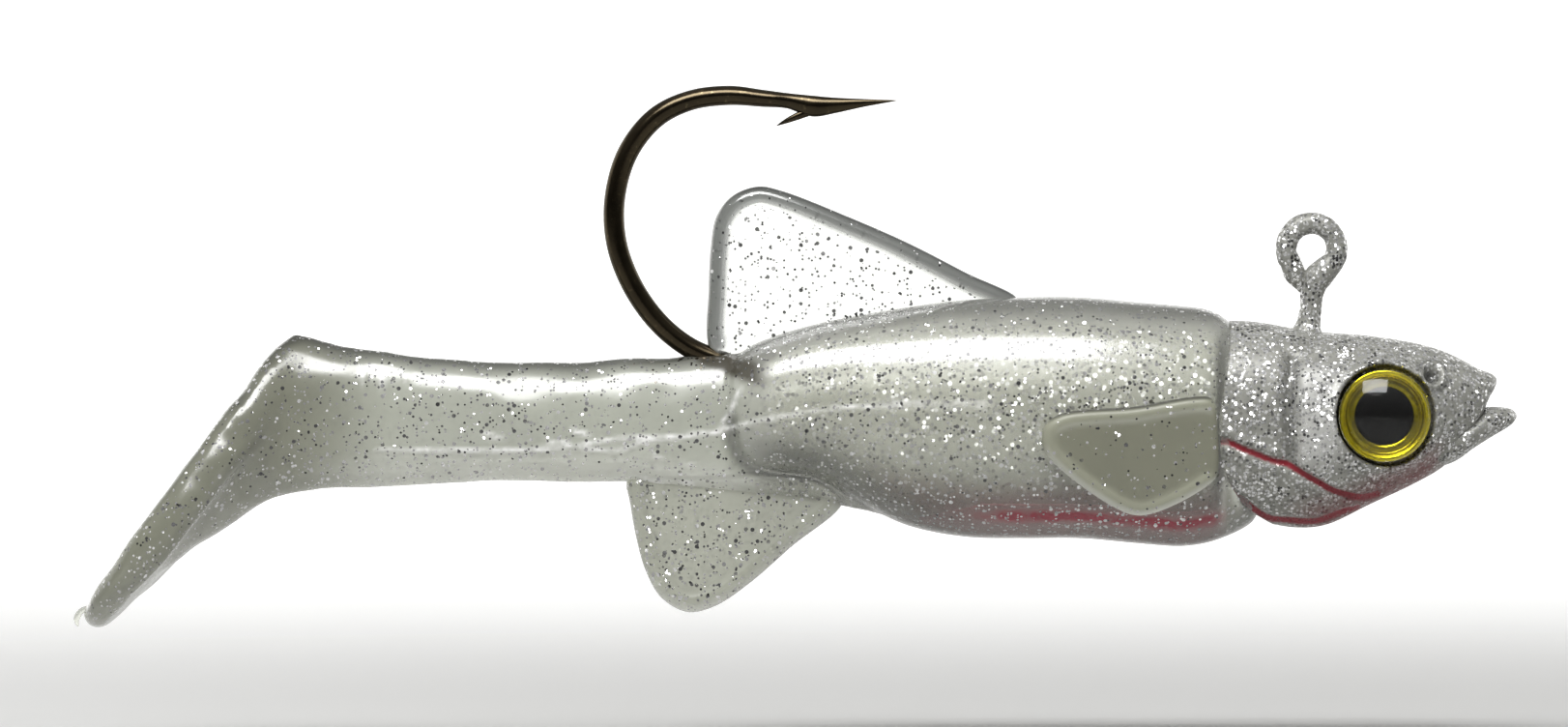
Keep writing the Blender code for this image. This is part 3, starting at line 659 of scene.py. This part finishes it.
def head_paint(red=True):
    """Silver glitter paint under a clear coat; red lines, a dark red blush along the keel that is partly
    painted shade, painted shade in the grooves and a painted highlight on the cheek come from the mesh's own
    attributes.
    """
    n = Nodes("head_paint" if red else "ring_paint")
    spread = n.ramp(n.noise(2.6, 2.0), 0.35, 0.65)
    bright, level, direction = n.flakes(0.21, 0.62, reach=0.5)
    large, _, _ = n.flakes(0.33, 0.28, reach=0.44, shift=(0.001, 0.007, 0.004))
    dark, _, _ = n.flakes(0.24, 0.34, reach=0.48, shift=(0.006, 0.002, 0.009))
    clump = n.ramp(n.noise(1.6, 3.0, (0.02, 0.01, 0.03)), 0.45, 0.62)
    dark = n.times(dark, n.line(clump, 0.6, 0.4))
    bright = n.times(bright, n.line(spread, 0.5, 0.5))
    silvered = n.math("MAXIMUM", bright, large)
    grey = n.line(n.noise(0.7, 3.0), 0.24, 0.15)
    base = n.mix(silvered, n.grey(grey, n.times(grey, 0.9)), n.grey(n.line(level, 0.65, 0.50)))
    if red:
        # Painted highlight on the raised cheek.
        base = n.mix(n.times(n.mark("painted_cheek_highlight"), 0.4), base, (0.85, 0.85, 0.83, 1))
    base = n.mix(dark, base, (0.03, 0.03, 0.03, 1))
    metal = n.blend(silvered, 0.2, 0.85)
    if red:
        line = n.mark("red_line")
        # Dark red towards the head's keel: partly red in the paint, partly painted shade underneath.
        patchy = n.times(n.mark("blush_and_shade"), n.line(n.noise(0.5, 3.0), 0.9, 0.25))
        base = n.mix(n.math("MINIMUM", patchy, 0.9), base, (0.15, 0.014, 0.018, 1))
        base = n.mix(line, base, (0.21, 0.002, 0.012, 1))
        metal = n.times(metal, n.line(line, -0.85, 1.0))
        # Painted shade in the cheek groove, the nostril and round the eye.
        base = n.scaled(base, n.line(n.mark("groove"), -0.75, 1.0))
    normal = n.bump(n.noise(0.5, 4.0), 0.4, 0.08, n.tilted(direction, 1.15, silvered))
    return n.finish({
        "Base Color": base, "Metallic": metal, "Roughness": n.blend(silvered, 0.5, 0.17), "Normal": normal,
        "Coat Weight": 0.25, "Coat Roughness": 0.3,
    })


def hook_plate():
    """Dark bronze nickel plate."""
    n = Nodes("hook_plate")
    cloud = n.noise(2.2, 4.0)
    worn = n.add("MapRange", {0: n.noise(0.35, 4.0), 1: 0.60, 2: 0.75, 3: 0.0, 4: 0.55}).outputs[0]
    base = n.mix(cloud, (0.035, 0.029, 0.020, 1), (0.080, 0.063, 0.038, 1))
    base = n.mix(worn, base, (0.20, 0.16, 0.095, 1))
    return n.finish({
        "Base Color": base, "Metallic": 1.0, "Roughness": n.line(cloud, 0.14, 0.12),
        "Normal": n.bump(n.noise(0.6, 3.0), 0.15, 0.05),
    })


def gold_foil():
    """Gold foil, brushed round the eye, darker in its inner cone."""
    n = Nodes("eye_gold")
    split = n.add("SeparateXYZ", {0: n.place()})
    across = n.math("SUBTRACT", split.outputs[0], EYE[0] * MM)
    up = n.math("SUBTRACT", split.outputs[2], EYE[1] * MM)
    radius = n.math("SQRT", n.math("ADD", n.math("POWER", across, 2.0), n.math("POWER", up, 2.0)))
    inner = n.add("MapRange", {0: radius, 1: 2.35 * MM, 2: 2.6 * MM, 3: 1.0, 4: 0.0}).outputs[0]
    grain = n.noise(0.25, 3.0)
    bright = n.mix(grain, (0.46, 0.38, 0.005, 1), (0.90, 0.76, 0.02, 1))
    deep = n.mix(grain, (0.12, 0.10, 0.003, 1), (0.50, 0.41, 0.010, 1))
    return n.finish({
        "Base Color": n.mix(inner, bright, deep), "Metallic": 0.95, "Roughness": 0.24,
        "Normal": n.bump(grain, 0.25, 0.03),
    })


def pupil_black():
    """Gloss black with a trace of dust."""
    n = Nodes("pupil_black")
    base = n.mix(n.noise(0.4, 4.0), (0.001, 0.001, 0.001, 1), (0.004, 0.004, 0.004, 1))
    return n.finish({"Base Color": base, "Roughness": 0.06, "Specular IOR Level": 0.05})


def eye_lens():
    """Clear cast resin."""
    n = Nodes("eye_lens")
    base = n.mix(n.noise(1.5, 2.0), (0.93, 0.94, 0.93, 1), (1.0, 1.0, 1.0, 1))
    return n.finish({
        "Base Color": base, "Transmission Weight": 1.0, "Roughness": 0.01, "IOR": 1.12,
        "Coat Weight": 0.65, "Coat Roughness": 0.1, "Coat IOR": 1.5,
        "Normal": n.bump(n.noise(1.5, 2.0), 0.08, 0.05),
    }, shadow=(0.97, 0.97, 0.97))


# ---- soft body

def paddle_blade():
    """The flat boot at the tail's end, with round edges, across the middle plane."""
    half = spline(PADDLE_WIDTHS, 8)
    outline = [(along, width) for along, width in half] + [(along, -width) for along, width in half[::-1]]
    outline = even_loop(np.array(outline), 0.5)
    inward = loop_inward(outline)
    down = np.array([PADDLE_TIP[0] - PADDLE_TOP[0], 0, PADDLE_TIP[1] - PADDLE_TOP[1]])
    down /= np.linalg.norm(down)
    forward = np.array([-down[2], 0, down[0]])
    top = np.array([PADDLE_TOP[0], 0, PADDLE_TOP[1]])
    radius = 1.2
    rings = []
    for step in range(9):
        angle = math.pi * step / 8
        rise = PADDLE_THICKNESS / 2 * (1 - math.cos(angle))
        inset = radius * (1 - math.sin(angle))
        flat = outline + inward * min(inset, 0.55)
        thin = 1 - 0.38 * smoothstep(flat[:, :1], 16.0, 24.0)
        rings.append(top + flat[:, :1] * down + flat[:, 1:] * np.array([0, 1, 0]) + rise * thin * forward)
    return lofted(np.array(rings))


def soft_surface():
    """Body, stem and paddle grown into one skin."""
    body = lofted(upright_rings(spline(BODY_STATIONS, 6), 96, BODY_POWER))
    stem = lofted(upright_rings(spline(STEM_STATIONS, 6), 72, STEM_POWER))
    fan = lofted(fan_rings(spline(FAN_STATIONS, 6), 72, STEM_POWER))
    obj = mesh_object("soft_surface", *joined([body, stem, fan, paddle_blade()]))
    remesh = obj.modifiers.new("grow", "REMESH")
    remesh.mode = "VOXEL"
    remesh.voxel_size = VOXEL * MM
    settle(obj)
    boot = obj.vertex_groups.new(name="boot")
    start, full = BOOT_MELT
    for vert in obj.data.vertices:
        if vert.co.x < start * MM:
            boot.add([vert.index], min(1.0, (start * MM - vert.co.x) / (start - full) / MM), "REPLACE")
    for name, rounds, group in (("soften", SOFTEN_ROUNDS, ""), ("melt", MELT_ROUNDS, "boot")):
        smooth = obj.modifiers.new(name, "SMOOTH")
        smooth.factor = 0.5
        smooth.iterations = rounds
        smooth.vertex_group = group
    settle(obj)
    points = points_of(obj)
    normals = np.array([vert.normal[:] for vert in obj.data.vertices])
    marks = soft_marks(points / MM)
    lift = 0.10 * marks["pale"] - 0.38 * marks["crease"] * smoothstep(np.abs(normals[:, 1]), 0.2, 0.6)
    wave = np.array([noise.noise(Vector((x / 3.2, y / 4.0, z / 2.2))) for x, y, z in points / MM])
    lift += WAVES * wave * smoothstep(-points[:, 0] / MM, 40.5, 45.0)
    points += normals * (lift * MM)[:, None]
    obj.data.vertices.foreach_set("co", points.ravel())
    obj.data.update()
    return obj


def soft_marks(points):
    """How much each point (mm) belongs to a mould line, the crease (cut in, and darkened with painted shade),
    the hook's patch and the red tint.
    """
    flat = points[:, [0, 2]]
    pale = np.zeros(len(flat))
    for line in MOULD_LINES:
        curve = spline(line, 5)
        gap = distance_to_line(flat, curve)
        ends = np.minimum(*(np.hypot(*(flat - end).T) for end in (curve[0], curve[-1])))
        pale = np.maximum(pale, (1 - smoothstep(gap, 0.04, 0.28)) * smoothstep(ends, 0.0, 0.7))
    gap = distance_to_line(flat, spline(BULB_CREASE, 5))
    fade = smoothstep(-flat[:, 0], 31.0, 36.5)
    crease = bell(gap, 0, 0.45) * fade
    sunk = smoothstep(-flat[:, 0], 36.6, 38.8)
    window = (1 - smoothstep(distance_to_line(flat, HOOK_WINDOW), 0.45, 1.15)) * sunk
    keel = table_at(BODY_STATIONS, flat[:, 0])[1]
    rise = flat[:, 1] - keel
    ends = smoothstep(flat[:, 0], -27.5, -20.0) * (1 - smoothstep(flat[:, 0], -7.2, -5.6))
    red_tint = ends * np.maximum(bell(rise, 1.6, 0.65), 0.3 * (1 - smoothstep(rise, 1.2, 3.8)))
    return {"pale": pale, "crease": crease, "window": window, "red_tint": red_tint}


def split_soft(obj, cuts, names):
    """Cut the skin across at each x and give every length the whole skin's normals."""
    bm = bmesh.new()
    bm.from_mesh(obj.data)
    for x in cuts:
        everything = bm.verts[:] + bm.edges[:] + bm.faces[:]
        bmesh.ops.bisect_plane(bm, geom=everything, plane_co=(x, 0, 0), plane_no=(1, 0, 0), dist=1e-7)
    bm.normal_update()
    limits = [1e9] + list(cuts) + [-1e9]
    made = []
    for name, high, low in zip(names, limits, limits[1:]):
        chosen = [face for face in bm.faces if low < face.calc_center_median().x < high]
        verts = list(dict.fromkeys(vert for face in chosen for vert in face.verts))
        index = {vert: number for number, vert in enumerate(verts)}
        faces = [[index[vert] for vert in face.verts] for face in chosen]
        mesh = bpy.data.meshes.new(name)
        mesh.from_pydata([vert.co.copy() for vert in verts], [], faces)
        mesh.shade_smooth()
        mesh.normals_split_custom_set_from_vertices([vert.normal.copy() for vert in verts])
        made.append(linked(name, mesh))
    bm.free()
    bpy.data.objects.remove(obj)
    return made


def make_core():
    """The glitter core, rounded at its ends, and the red stripe along its keel."""
    rows = []
    for step in range(61):
        x = CORE_X[0] + (CORE_X[1] - CORE_X[0]) * (step / 60)
        top, bottom, width = table_at(BODY_STATIONS, x)
        rows.append((x, top - SKIN_TOP, bottom + SKIN, width - SKIN))
    x, top, bottom, width = rows[0]
    rows.insert(0, (x + 0.25, top - 0.5, bottom + 0.5, width - 0.5))
    core = mesh_object("body_glitter_core", *lofted(upright_rings(rows, 96, BODY_POWER)))
    places = points_of(core) / MM
    keel = np.interp(-places[:, 0], [-row[0] for row in rows], [row[2] for row in rows])
    # Dark red towards the keel, partly the plastic's own red and partly painted shade.
    blush_and_shade = (1 - smoothstep(places[:, 2] - keel, 0.9, 3.4)) * smoothstep(places[:, 0], -33.0, -24.0)
    weigh(core, "blush_and_shade", blush_and_shade)
    core.data.materials.append(glitter_core())
    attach(core, "root")
    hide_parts("body_core")

    rings = []
    for step in range(41):
        share = step / 40
        x = STRIPE_X[0] + (STRIPE_X[1] - STRIPE_X[0]) * share
        top, bottom, width = table_at(BODY_STATIONS, x)
        half_height = (top - SKIN_TOP - bottom - SKIN) / 2
        taper = min(1.0, (1 - share) * 4 + 0.15)
        rise = np.linspace(STRIPE_RISE[0], STRIPE_RISE[1] * taper, 14)
        down = 1 - rise / half_height
        reach = (width - SKIN) * (1 - down ** BODY_POWER) ** (1 / BODY_POWER) + STRIPE_PROUD
        reach[-1] -= STRIPE_INSET
        side = np.stack([np.full_like(rise, x), reach, bottom + SKIN + rise], axis=1)
        rings.append(np.concatenate([side * (1, -1, 1), side[::-1]]))
    stripe = mesh_object("belly_red_stripe", *lofted(np.array(rings)))
    stripe.data.materials.append(red_stripe())
    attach(stripe, "root")
    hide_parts("belly_stripe")


def make_tag():
    """The thin leaf of flash left on the paddle's tip."""
    tag = mesh_object("tail_tip_flash", *lofted(swept(spline(TAG_ROUTE, 5), 14, TAG_FLAT)))
    tag.data.materials.append(plastisol("flash_plastisol", (0.75, 0.76, 0.70), 0.7, silver=0.05))
    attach(tag, "paddle")
    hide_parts("tail_paddle")


def joint_x(name):
    """Where a tail joint's axis stands, in metres."""
    joints = frame["record"]["behaviour"]["joints"]
    return next(joint["pos_m"][0] for joint in joints if joint["name"] == name)


def make_soft():
    """The clear skin in lengths cut between the tail's joints."""
    joints = [joint_x(name) for name in ("tail_bend_1", "tail_bend_2", "tail_bend_3", "paddle_swing")]
    cuts = [(front + rear) / 2 for front, rear in zip(joints, joints[1:])]
    names = ("soft_body", "tail_stem_front", "tail_stem_rear", "tail_boot")
    nodes = (("body_skin", "tail_segment_1"), ("tail_segment_2",), ("tail_segment_3",), ("tail_paddle",))
    skin = plastisol("body_plastisol", (0.78, 0.79, 0.72), 0.88, tail=True)
    for number, piece in enumerate(split_soft(soft_surface(), cuts, names)):
        piece.data.materials.append(skin)
        for mark, values in soft_marks(points_of(piece) / MM).items():
            weigh(piece, mark, values)
        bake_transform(piece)
        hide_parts(*nodes[number])
    make_tag()


# ---- fins

def weigh_rim(fin, outline):
    """Mark how much each point belongs to the fin's thick rim."""
    points = points_of(fin) / MM
    depth = distance_to_line(points[:, [0, 2]], free_edge(outline))
    weigh(fin, "rim", 1 - smoothstep(depth, 0.75, 1.25))


def make_fins():
    """The dorsal and anal fins, and the two pectoral flaps."""
    # Each fin's rim colour is painted light and shade for what its thick edge bends in from round it.
    clear = plastisol(
        "fin_plastisol", (0.95, 0.96, 0.94), 0.97, silver=0.07, rough=0.08, shadow=0.9,
        rim=((0.22, 0.228, 0.215), 0.45),
    )
    # The anal fin is the same clear plastic as the dorsal fin; its grey tint is painted shade.
    grey = plastisol(
        "anal_plastisol", (0.48, 0.49, 0.42), 0.35, silver=0.3, shadow=0.7,
        rim=((0.42, 0.43, 0.36), 0.25),
    )
    for name, node, body, outline, axis, half, material in (
        ("dorsal_fin_soft", "dorsal_fin", "dorsal", DORSAL_OUTLINE, DORSAL_AXIS, (0.8, 0.5), clear),
        ("anal_fin_soft", "anal_fin", "anal", ANAL_OUTLINE, ANAL_AXIS, (0.95, 0.75), grey),
    ):
        fin = mesh_object(name, *plate(outline, *half))
        weigh_rim(fin, outline)
        fin.data.materials.append(material)
        ends = np.array(axis)
        middle = ends.mean(axis=0)
        along = (ends[1] - ends[0]) / np.linalg.norm(ends[1] - ends[0])
        out = np.array([-along[1], along[0]])
        if (np.mean(np.array(outline), axis=0) - middle) @ out < 0:
            out = -out
        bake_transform(fin)
        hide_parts(node)

    milky = plastisol(
        "pectoral_plastisol", (0.33, 0.332, 0.255), 0.45, silver=0.07, rough=0.45, shadow=0.6,
        rim=((0.37, 0.375, 0.29), 0.25), coat=0.1,
    )
    hinge_x, hinge_y, hinge_z = PECTORAL_HINGE
    outline = [(x - hinge_x, z - hinge_z) for x, z in PECTORAL_OUTLINE]
    for side, sign in (("right", -1), ("left", 1)):
        fin = mesh_object("pectoral_flap_" + side, *plate(outline, 0.6, 0.45, 0.8))
        weigh_rim(fin, outline)
        fin.location = Vector((hinge_x, sign * hinge_y, hinge_z)) * MM
        fin.rotation_euler = (-sign * PECTORAL_LEAN, 0, -sign * PECTORAL_YAW)
        fin.data.materials.append(milky)
        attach(fin, "pectoral_" + side)
        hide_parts("pectoral_fin_" + side)


# ---- head

def head_rings(columns=170, sides=300):
    """The head's sections, sheared at the rear so that they end along the gill cover."""
    across, along = superellipse(sides, HEAD_POWER)
    edge = spline(GILL_EDGE, 8)
    edge = edge[np.argsort(edge[:, 1])]
    nose = HEAD_STATIONS[-1][0]
    rings = []
    for column in range(columns + 1):
        share = column / columns
        x = np.full(sides, -6.0 + (nose + 6.0) * share)
        for _ in range(12):    # x sets the section's height, and the height sets x, so they settle in rounds
            top, bottom, width = table_at(HEAD_STATIONS, x)
            z = (top + bottom) / 2 + (top - bottom) / 2 * along
            rear = np.interp(z, edge[:, 1], edge[:, 0])
            x = 0.5 * x + 0.5 * (rear + (nose - rear) * share)
        rings.append(np.stack([x, width * across, z], axis=1))
    return np.array(rings)


def sculpt_head(points, normals):
    """Grooves, cheek, eye seats and nostrils of the head, with weights for the red paint, for the dark red
    blush that is partly painted shade, for painted shade in the grooves and for a painted highlight on the
    cheek.
    """
    flat = points[:, [0, 2]]
    side = smoothstep(np.abs(normals[:, 1]), 0.15, 0.45)
    lift = np.zeros(len(points))
    red = np.zeros(len(points))
    for line in GILL_LINES:
        gap = distance_to_line(flat, spline(line, 4))
        lift -= 0.16 * bell(gap, 0, 0.28) * side
        lift += 0.10 * bell(gap, 0.55, 0.3) * side
        red = np.maximum(red, 1 - smoothstep(gap, 0.14, 0.27))
    groove = distance_to_line(flat, spline(CHEEK_GROOVE, 6))
    lift -= 0.34 * bell(groove, 0, 0.5) * side
    cheek = smoothstep(flat[:, 0], -1.9, -0.6) * (1 - smoothstep(flat[:, 0], 0.2, 2.6))
    cheek *= smoothstep(flat[:, 1], -16.0, -14.0) * (1 - smoothstep(flat[:, 1], -9.0, -7.5)) * side
    lift += 0.34 * cheek
    eye_gap = np.hypot(flat[:, 0] - EYE[0], flat[:, 1] - EYE[1])
    lift += 0.25 * bell(eye_gap, EYE_RADIUS + 0.35, 0.4) * side
    nostril = np.hypot(flat[:, 0] - NOSTRIL[0], flat[:, 1] - NOSTRIL[1])
    lift += (0.2 * bell(nostril, 0.85, 0.2) - 0.55 * (1 - smoothstep(nostril, 0.2, 0.75))) * side
    moved = points + normals * lift[:, None]
    seat = (1 - smoothstep(eye_gap, EYE_RADIUS, EYE_RADIUS + 0.2)) * side
    depth = np.minimum(np.abs(moved[:, 1]), EYE_SEAT_Y)
    moved[:, 1] = np.sign(moved[:, 1]) * (np.abs(moved[:, 1]) * (1 - seat) + depth * seat)
    keel = np.interp(flat[:, 0], [row[0] for row in HEAD_STATIONS], [row[2] for row in HEAD_STATIONS])
    low = 1 - smoothstep(flat[:, 1] - keel, 0.6, 3.0)
    # Dark red towards the keel, partly red in the paint and partly painted shade underneath.
    blush_and_shade = low * smoothstep(flat[:, 0], -3.0, 1.5) * (1 - smoothstep(flat[:, 0], 7.5, 9.5))
    # Painted shade in the nostril, along the cheek groove and round the eye's seat.
    shade = np.max([
        1 - smoothstep(nostril, 0.25, 0.62), 0.6 * bell(nostril, 1.05, 0.14), 0.55 * bell(groove, 0.1, 0.3),
        0.8 * bell(eye_gap, EYE_RADIUS + 0.1, 0.16),
    ], axis=0)
    return moved, {"red_line": np.clip(red, 0, 1), "blush_and_shade": blush_and_shade, "groove": shade * side, "painted_cheek_highlight": cheek}


def grid_normals(rings):
    """Outward normals of a ring grid."""
    along = np.gradient(rings, axis=0)
    around = np.roll(rings, -1, axis=1) - np.roll(rings, 1, axis=1)
    normal = np.cross(around, along)
    normal /= np.maximum(np.linalg.norm(normal, axis=2), 1e-9)[:, :, None]
    centre = rings.mean(axis=1, keepdims=True)
    outward = np.sign(np.sum(normal * (rings - centre), axis=2))
    return normal * outward[:, :, None]


def make_head():
    """The painted lead head and its lower jaw."""
    rings = head_rings()
    points, marks = sculpt_head(rings.reshape(-1, 3), grid_normals(rings).reshape(-1, 3))
    rings = points.reshape(rings.shape)
    inward = rings[0].mean(axis=0) - rings[0]
    inward[:, 0] = 0
    inward /= np.linalg.norm(inward, axis=1)[:, None]
    insets = ((2.4, 1.2), (1.6, 0.35), (0.75, -0.02), (0.3, -0.1), (0.1, -0.05))
    lip = np.array([rings[0] + inward * inset + (back, 0, 0) for inset, back in insets])
    head = mesh_object("head_casting", *lofted(np.concatenate([lip, rings])))
    pad = np.zeros(lip.shape[0] * lip.shape[1])
    for mark, values in marks.items():
        weigh(head, mark, np.concatenate([pad, values]))
    paint = head_paint()
    head.data.materials.append(paint)
    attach(head, "root")
    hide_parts("jig_head")

    jaw = mesh_object("head_lower_jaw", *lofted(upright_rings(spline(JAW_STATIONS, 8), 96, 2.2)))
    for mark in marks:
        weigh(jaw, mark, np.zeros(len(jaw.data.vertices)))
    jaw.data.materials.append(paint)
    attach(jaw, "root")
    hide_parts("jig_head")


def make_eyes():
    """Stepped gold ring, black pupil and clear dome on each side."""
    pupil_profile = [(0.05, PUPIL_RADIUS), (0.30, PUPIL_RADIUS)]
    for step in range(1, 7):
        angle = step / 6 * math.pi / 2
        pupil_profile.append((0.30 + 0.35 * math.sin(angle), PUPIL_RADIUS * math.cos(angle) + 0.004))
    bulge = (DOME_RADIUS ** 2 + DOME_RISE ** 2) / (2 * DOME_RISE)
    dome_profile = [(0.95, radius) for radius in (0.01, 1.0, 2.0, 2.8, 3.05, 3.12)]
    for step in range(17):
        radius = DOME_RADIUS * (1 - step / 16) + 0.004
        dome_profile.append((0.97 + DOME_RISE - bulge + math.sqrt(bulge ** 2 - radius ** 2), radius))
    kinds = (
        ("ring", RING_PROFILE, "gold_foil", gold_foil()),
        ("pupil", pupil_profile, "black_gloss", pupil_black()),
        ("dome", dome_profile, "clear_lens", eye_lens()),
    )
    for side, sign in (("right", -1), ("left", 1)):
        for kind, profile, slot, material in kinds:
            seated = [(sign * (EYE_SEAT_Y + EYE_GAP + rise), radius) for rise, radius in profile]
            points, faces = turned(seated, EYE_SIDES)
            if kind == "ring":
                faces = faces[:-2] + band(len(profile) - 1, 0, EYE_SIDES)
            piece = mesh_object("fish_eye_%s_%s" % (kind, side), points + (EYE[0], 0, EYE[1]), faces)
            piece.data.materials.append(material)
            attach(piece, "root")
            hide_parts("eye_%s_%s" % (kind, side))


def make_hook():
    """The bare bronze wire with its point and barb, and the painted ring and leg."""
    rows = spline([(x, z, WIRE_RADIUS) for x, z in HOOK_BEND] + list(HOOK_POINT), 8)
    flat = 1 - 0.35 * smoothstep(rows[:, 0], -37.5, -35.0)
    flat[rows[:, 1] < 5] = 1.0
    wire = lofted(swept(rows, 32, flat))
    barb = lofted(swept(spline(BARB, 5), 20, BARB_FLAT))
    hook = mesh_object("hook_wire", *joined([wire, barb]))
    hook.data.materials.append(hook_plate())
    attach(hook, "root")
    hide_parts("hook")

    ring = list(RING_END)
    for degrees in range(215, -31, -20):
        angle = math.radians(degrees)
        ring.append((RING_RADIUS * math.cos(angle), RING_RADIUS * math.sin(angle) - 0.05, RING_WIRE))
    ring += RING_LEG
    rings = swept(spline(ring, 6), 32)
    points, faces = lofted(rings)
    lumps = np.array([0.05 * noise.fractal(Vector(point) * 1.1, 1.0, 2.0, 3) for point in points])
    middles = rings.mean(axis=1).repeat(rings.shape[1], axis=0)
    out = points - middles
    out /= np.maximum(np.linalg.norm(out, axis=1), 1e-9)[:, None]
    tie = mesh_object("line_tie_ring", points + out * lumps[:, None], faces)
    tie.data.materials.append(head_paint(red=False))
    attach(tie, "root")
    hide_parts("hook")


# ---- studio

def make_studio():
    """Pale floor curving up into a wall, with a painted shadow round the lure, painted shade on the camera's
    side and a painted glow further off; soft key light and dim surroundings.
    """
    profile = [(0.0, FLOOR_Z)]
    for step in range(13):
        angle = math.pi / 2 * step / 12
        radius = STUDIO_RADIUS - STUDIO_BEND * (1 - math.sin(angle))
        profile.append((radius, FLOOR_Z + STUDIO_BEND * (1 - math.cos(angle))))
    profile.append((STUDIO_RADIUS, FLOOR_Z + STUDIO_HEIGHT))
    points = turned([(z, radius) for radius, z in profile], STUDIO_SIDES)[0][:, [0, 2, 1]]
    low, high = STUDIO_OPEN
    faces = [
        face for row in range(len(profile) - 1) for step, face in enumerate(band(row, row + 1, STUDIO_SIDES))
        if row < 3 or not low < 360 * (step + 0.5) / STUDIO_SIDES < high
    ]
    floor = mesh_object("studio_floor", points, faces)
    n = Nodes("studio_white")
    radius = n.add("VectorMath", {0: n.place()}, operation="LENGTH").outputs["Value"]
    white = n.mix(n.noise(300.0, 2.0), (0.84, 0.84, 0.83, 1), (0.87, 0.87, 0.86, 1))
    depth = n.add("SeparateXYZ", {0: n.place()}).outputs[1]
    behind = n.ramp(depth, -0.12, 0.05)
    # Painted shadow: the floor is grey round the lure.
    base = n.mix(n.ramp(radius, 0.02, 0.30), (0.54, 0.54, 0.53, 1), white)
    # Painted shade: the floor is darker on the camera's side.
    base = n.mix(behind, (0.32, 0.32, 0.315, 1), base)
    # Painted light: the floor and wall glow, fading out near the lure and on the camera's side.
    glow = n.times(n.times(n.ramp(radius, 0.04, 0.60), behind), 0.74)
    floor.data.materials.append(n.finish({
        "Base Color": base, "Roughness": 0.8,
        "Emission Color": (1.0, 1.0, 0.99, 1), "Emission Strength": glow,
    }))

    sun = bpy.data.lights.new("key_sun", "SUN")
    sun.energy = KEY_SUN[0]
    sun.angle = math.radians(KEY_SUN[1])
    linked("key_sun", sun).rotation_euler = (math.radians(42), 0, math.radians(-14))

    soft = bpy.data.lights.new("softbox", "AREA")
    soft.shape = "RECTANGLE"
    soft.size, soft.size_y = SOFTBOX_SIZE
    soft.energy = SOFTBOX_ENERGY
    box = linked("softbox", soft)
    target = Vector((-0.034, 0, -0.01))
    direction = Vector((-0.10, -0.62, 0.78)).normalized()
    box.location = target + direction * SOFTBOX_DISTANCE
    box.rotation_euler = (-direction).to_track_quat("-Z", "Y").to_euler()

    world = bpy.data.worlds.new("studio")
    bpy.context.scene.world = world
    n = Nodes("studio", world)
    split = n.add("SeparateXYZ", {0: n.coordinates.outputs["Generated"]})
    up, away = (
        n.add("MapRange", {0: split.outputs[axis], 1: low, 2: high, 3: least, 4: most}).outputs[0]
        for axis, low, high, least, most in WORLD_LIGHT
    )
    sky = n.add("Background", {"Color": (1.0, 1.0, 1.0, 1), "Strength": n.times(up, away)})
    n.tree.links.new(sky.outputs[0], n.output.inputs["Surface"])


def make_camera():
    """The camera, square to the lure's right flank."""
    data = bpy.data.cameras.new("camera")
    data.lens = CAMERA_LENS
    data.clip_start = 0.01
    data.clip_end = 20.0
    camera = linked("camera", data)
    x, y, z = CAMERA_TARGET
    camera.location = Vector((x, y - CAMERA_DISTANCE, z)) * MM
    camera.rotation_euler = (math.pi / 2, 0, 0)
    bpy.context.scene.camera = camera
    bpy.context.scene.view_settings.view_transform = "Standard"


make_camera()
make_studio()
make_soft()
make_core()
make_fins()
make_head()
make_eyes()
make_hook()
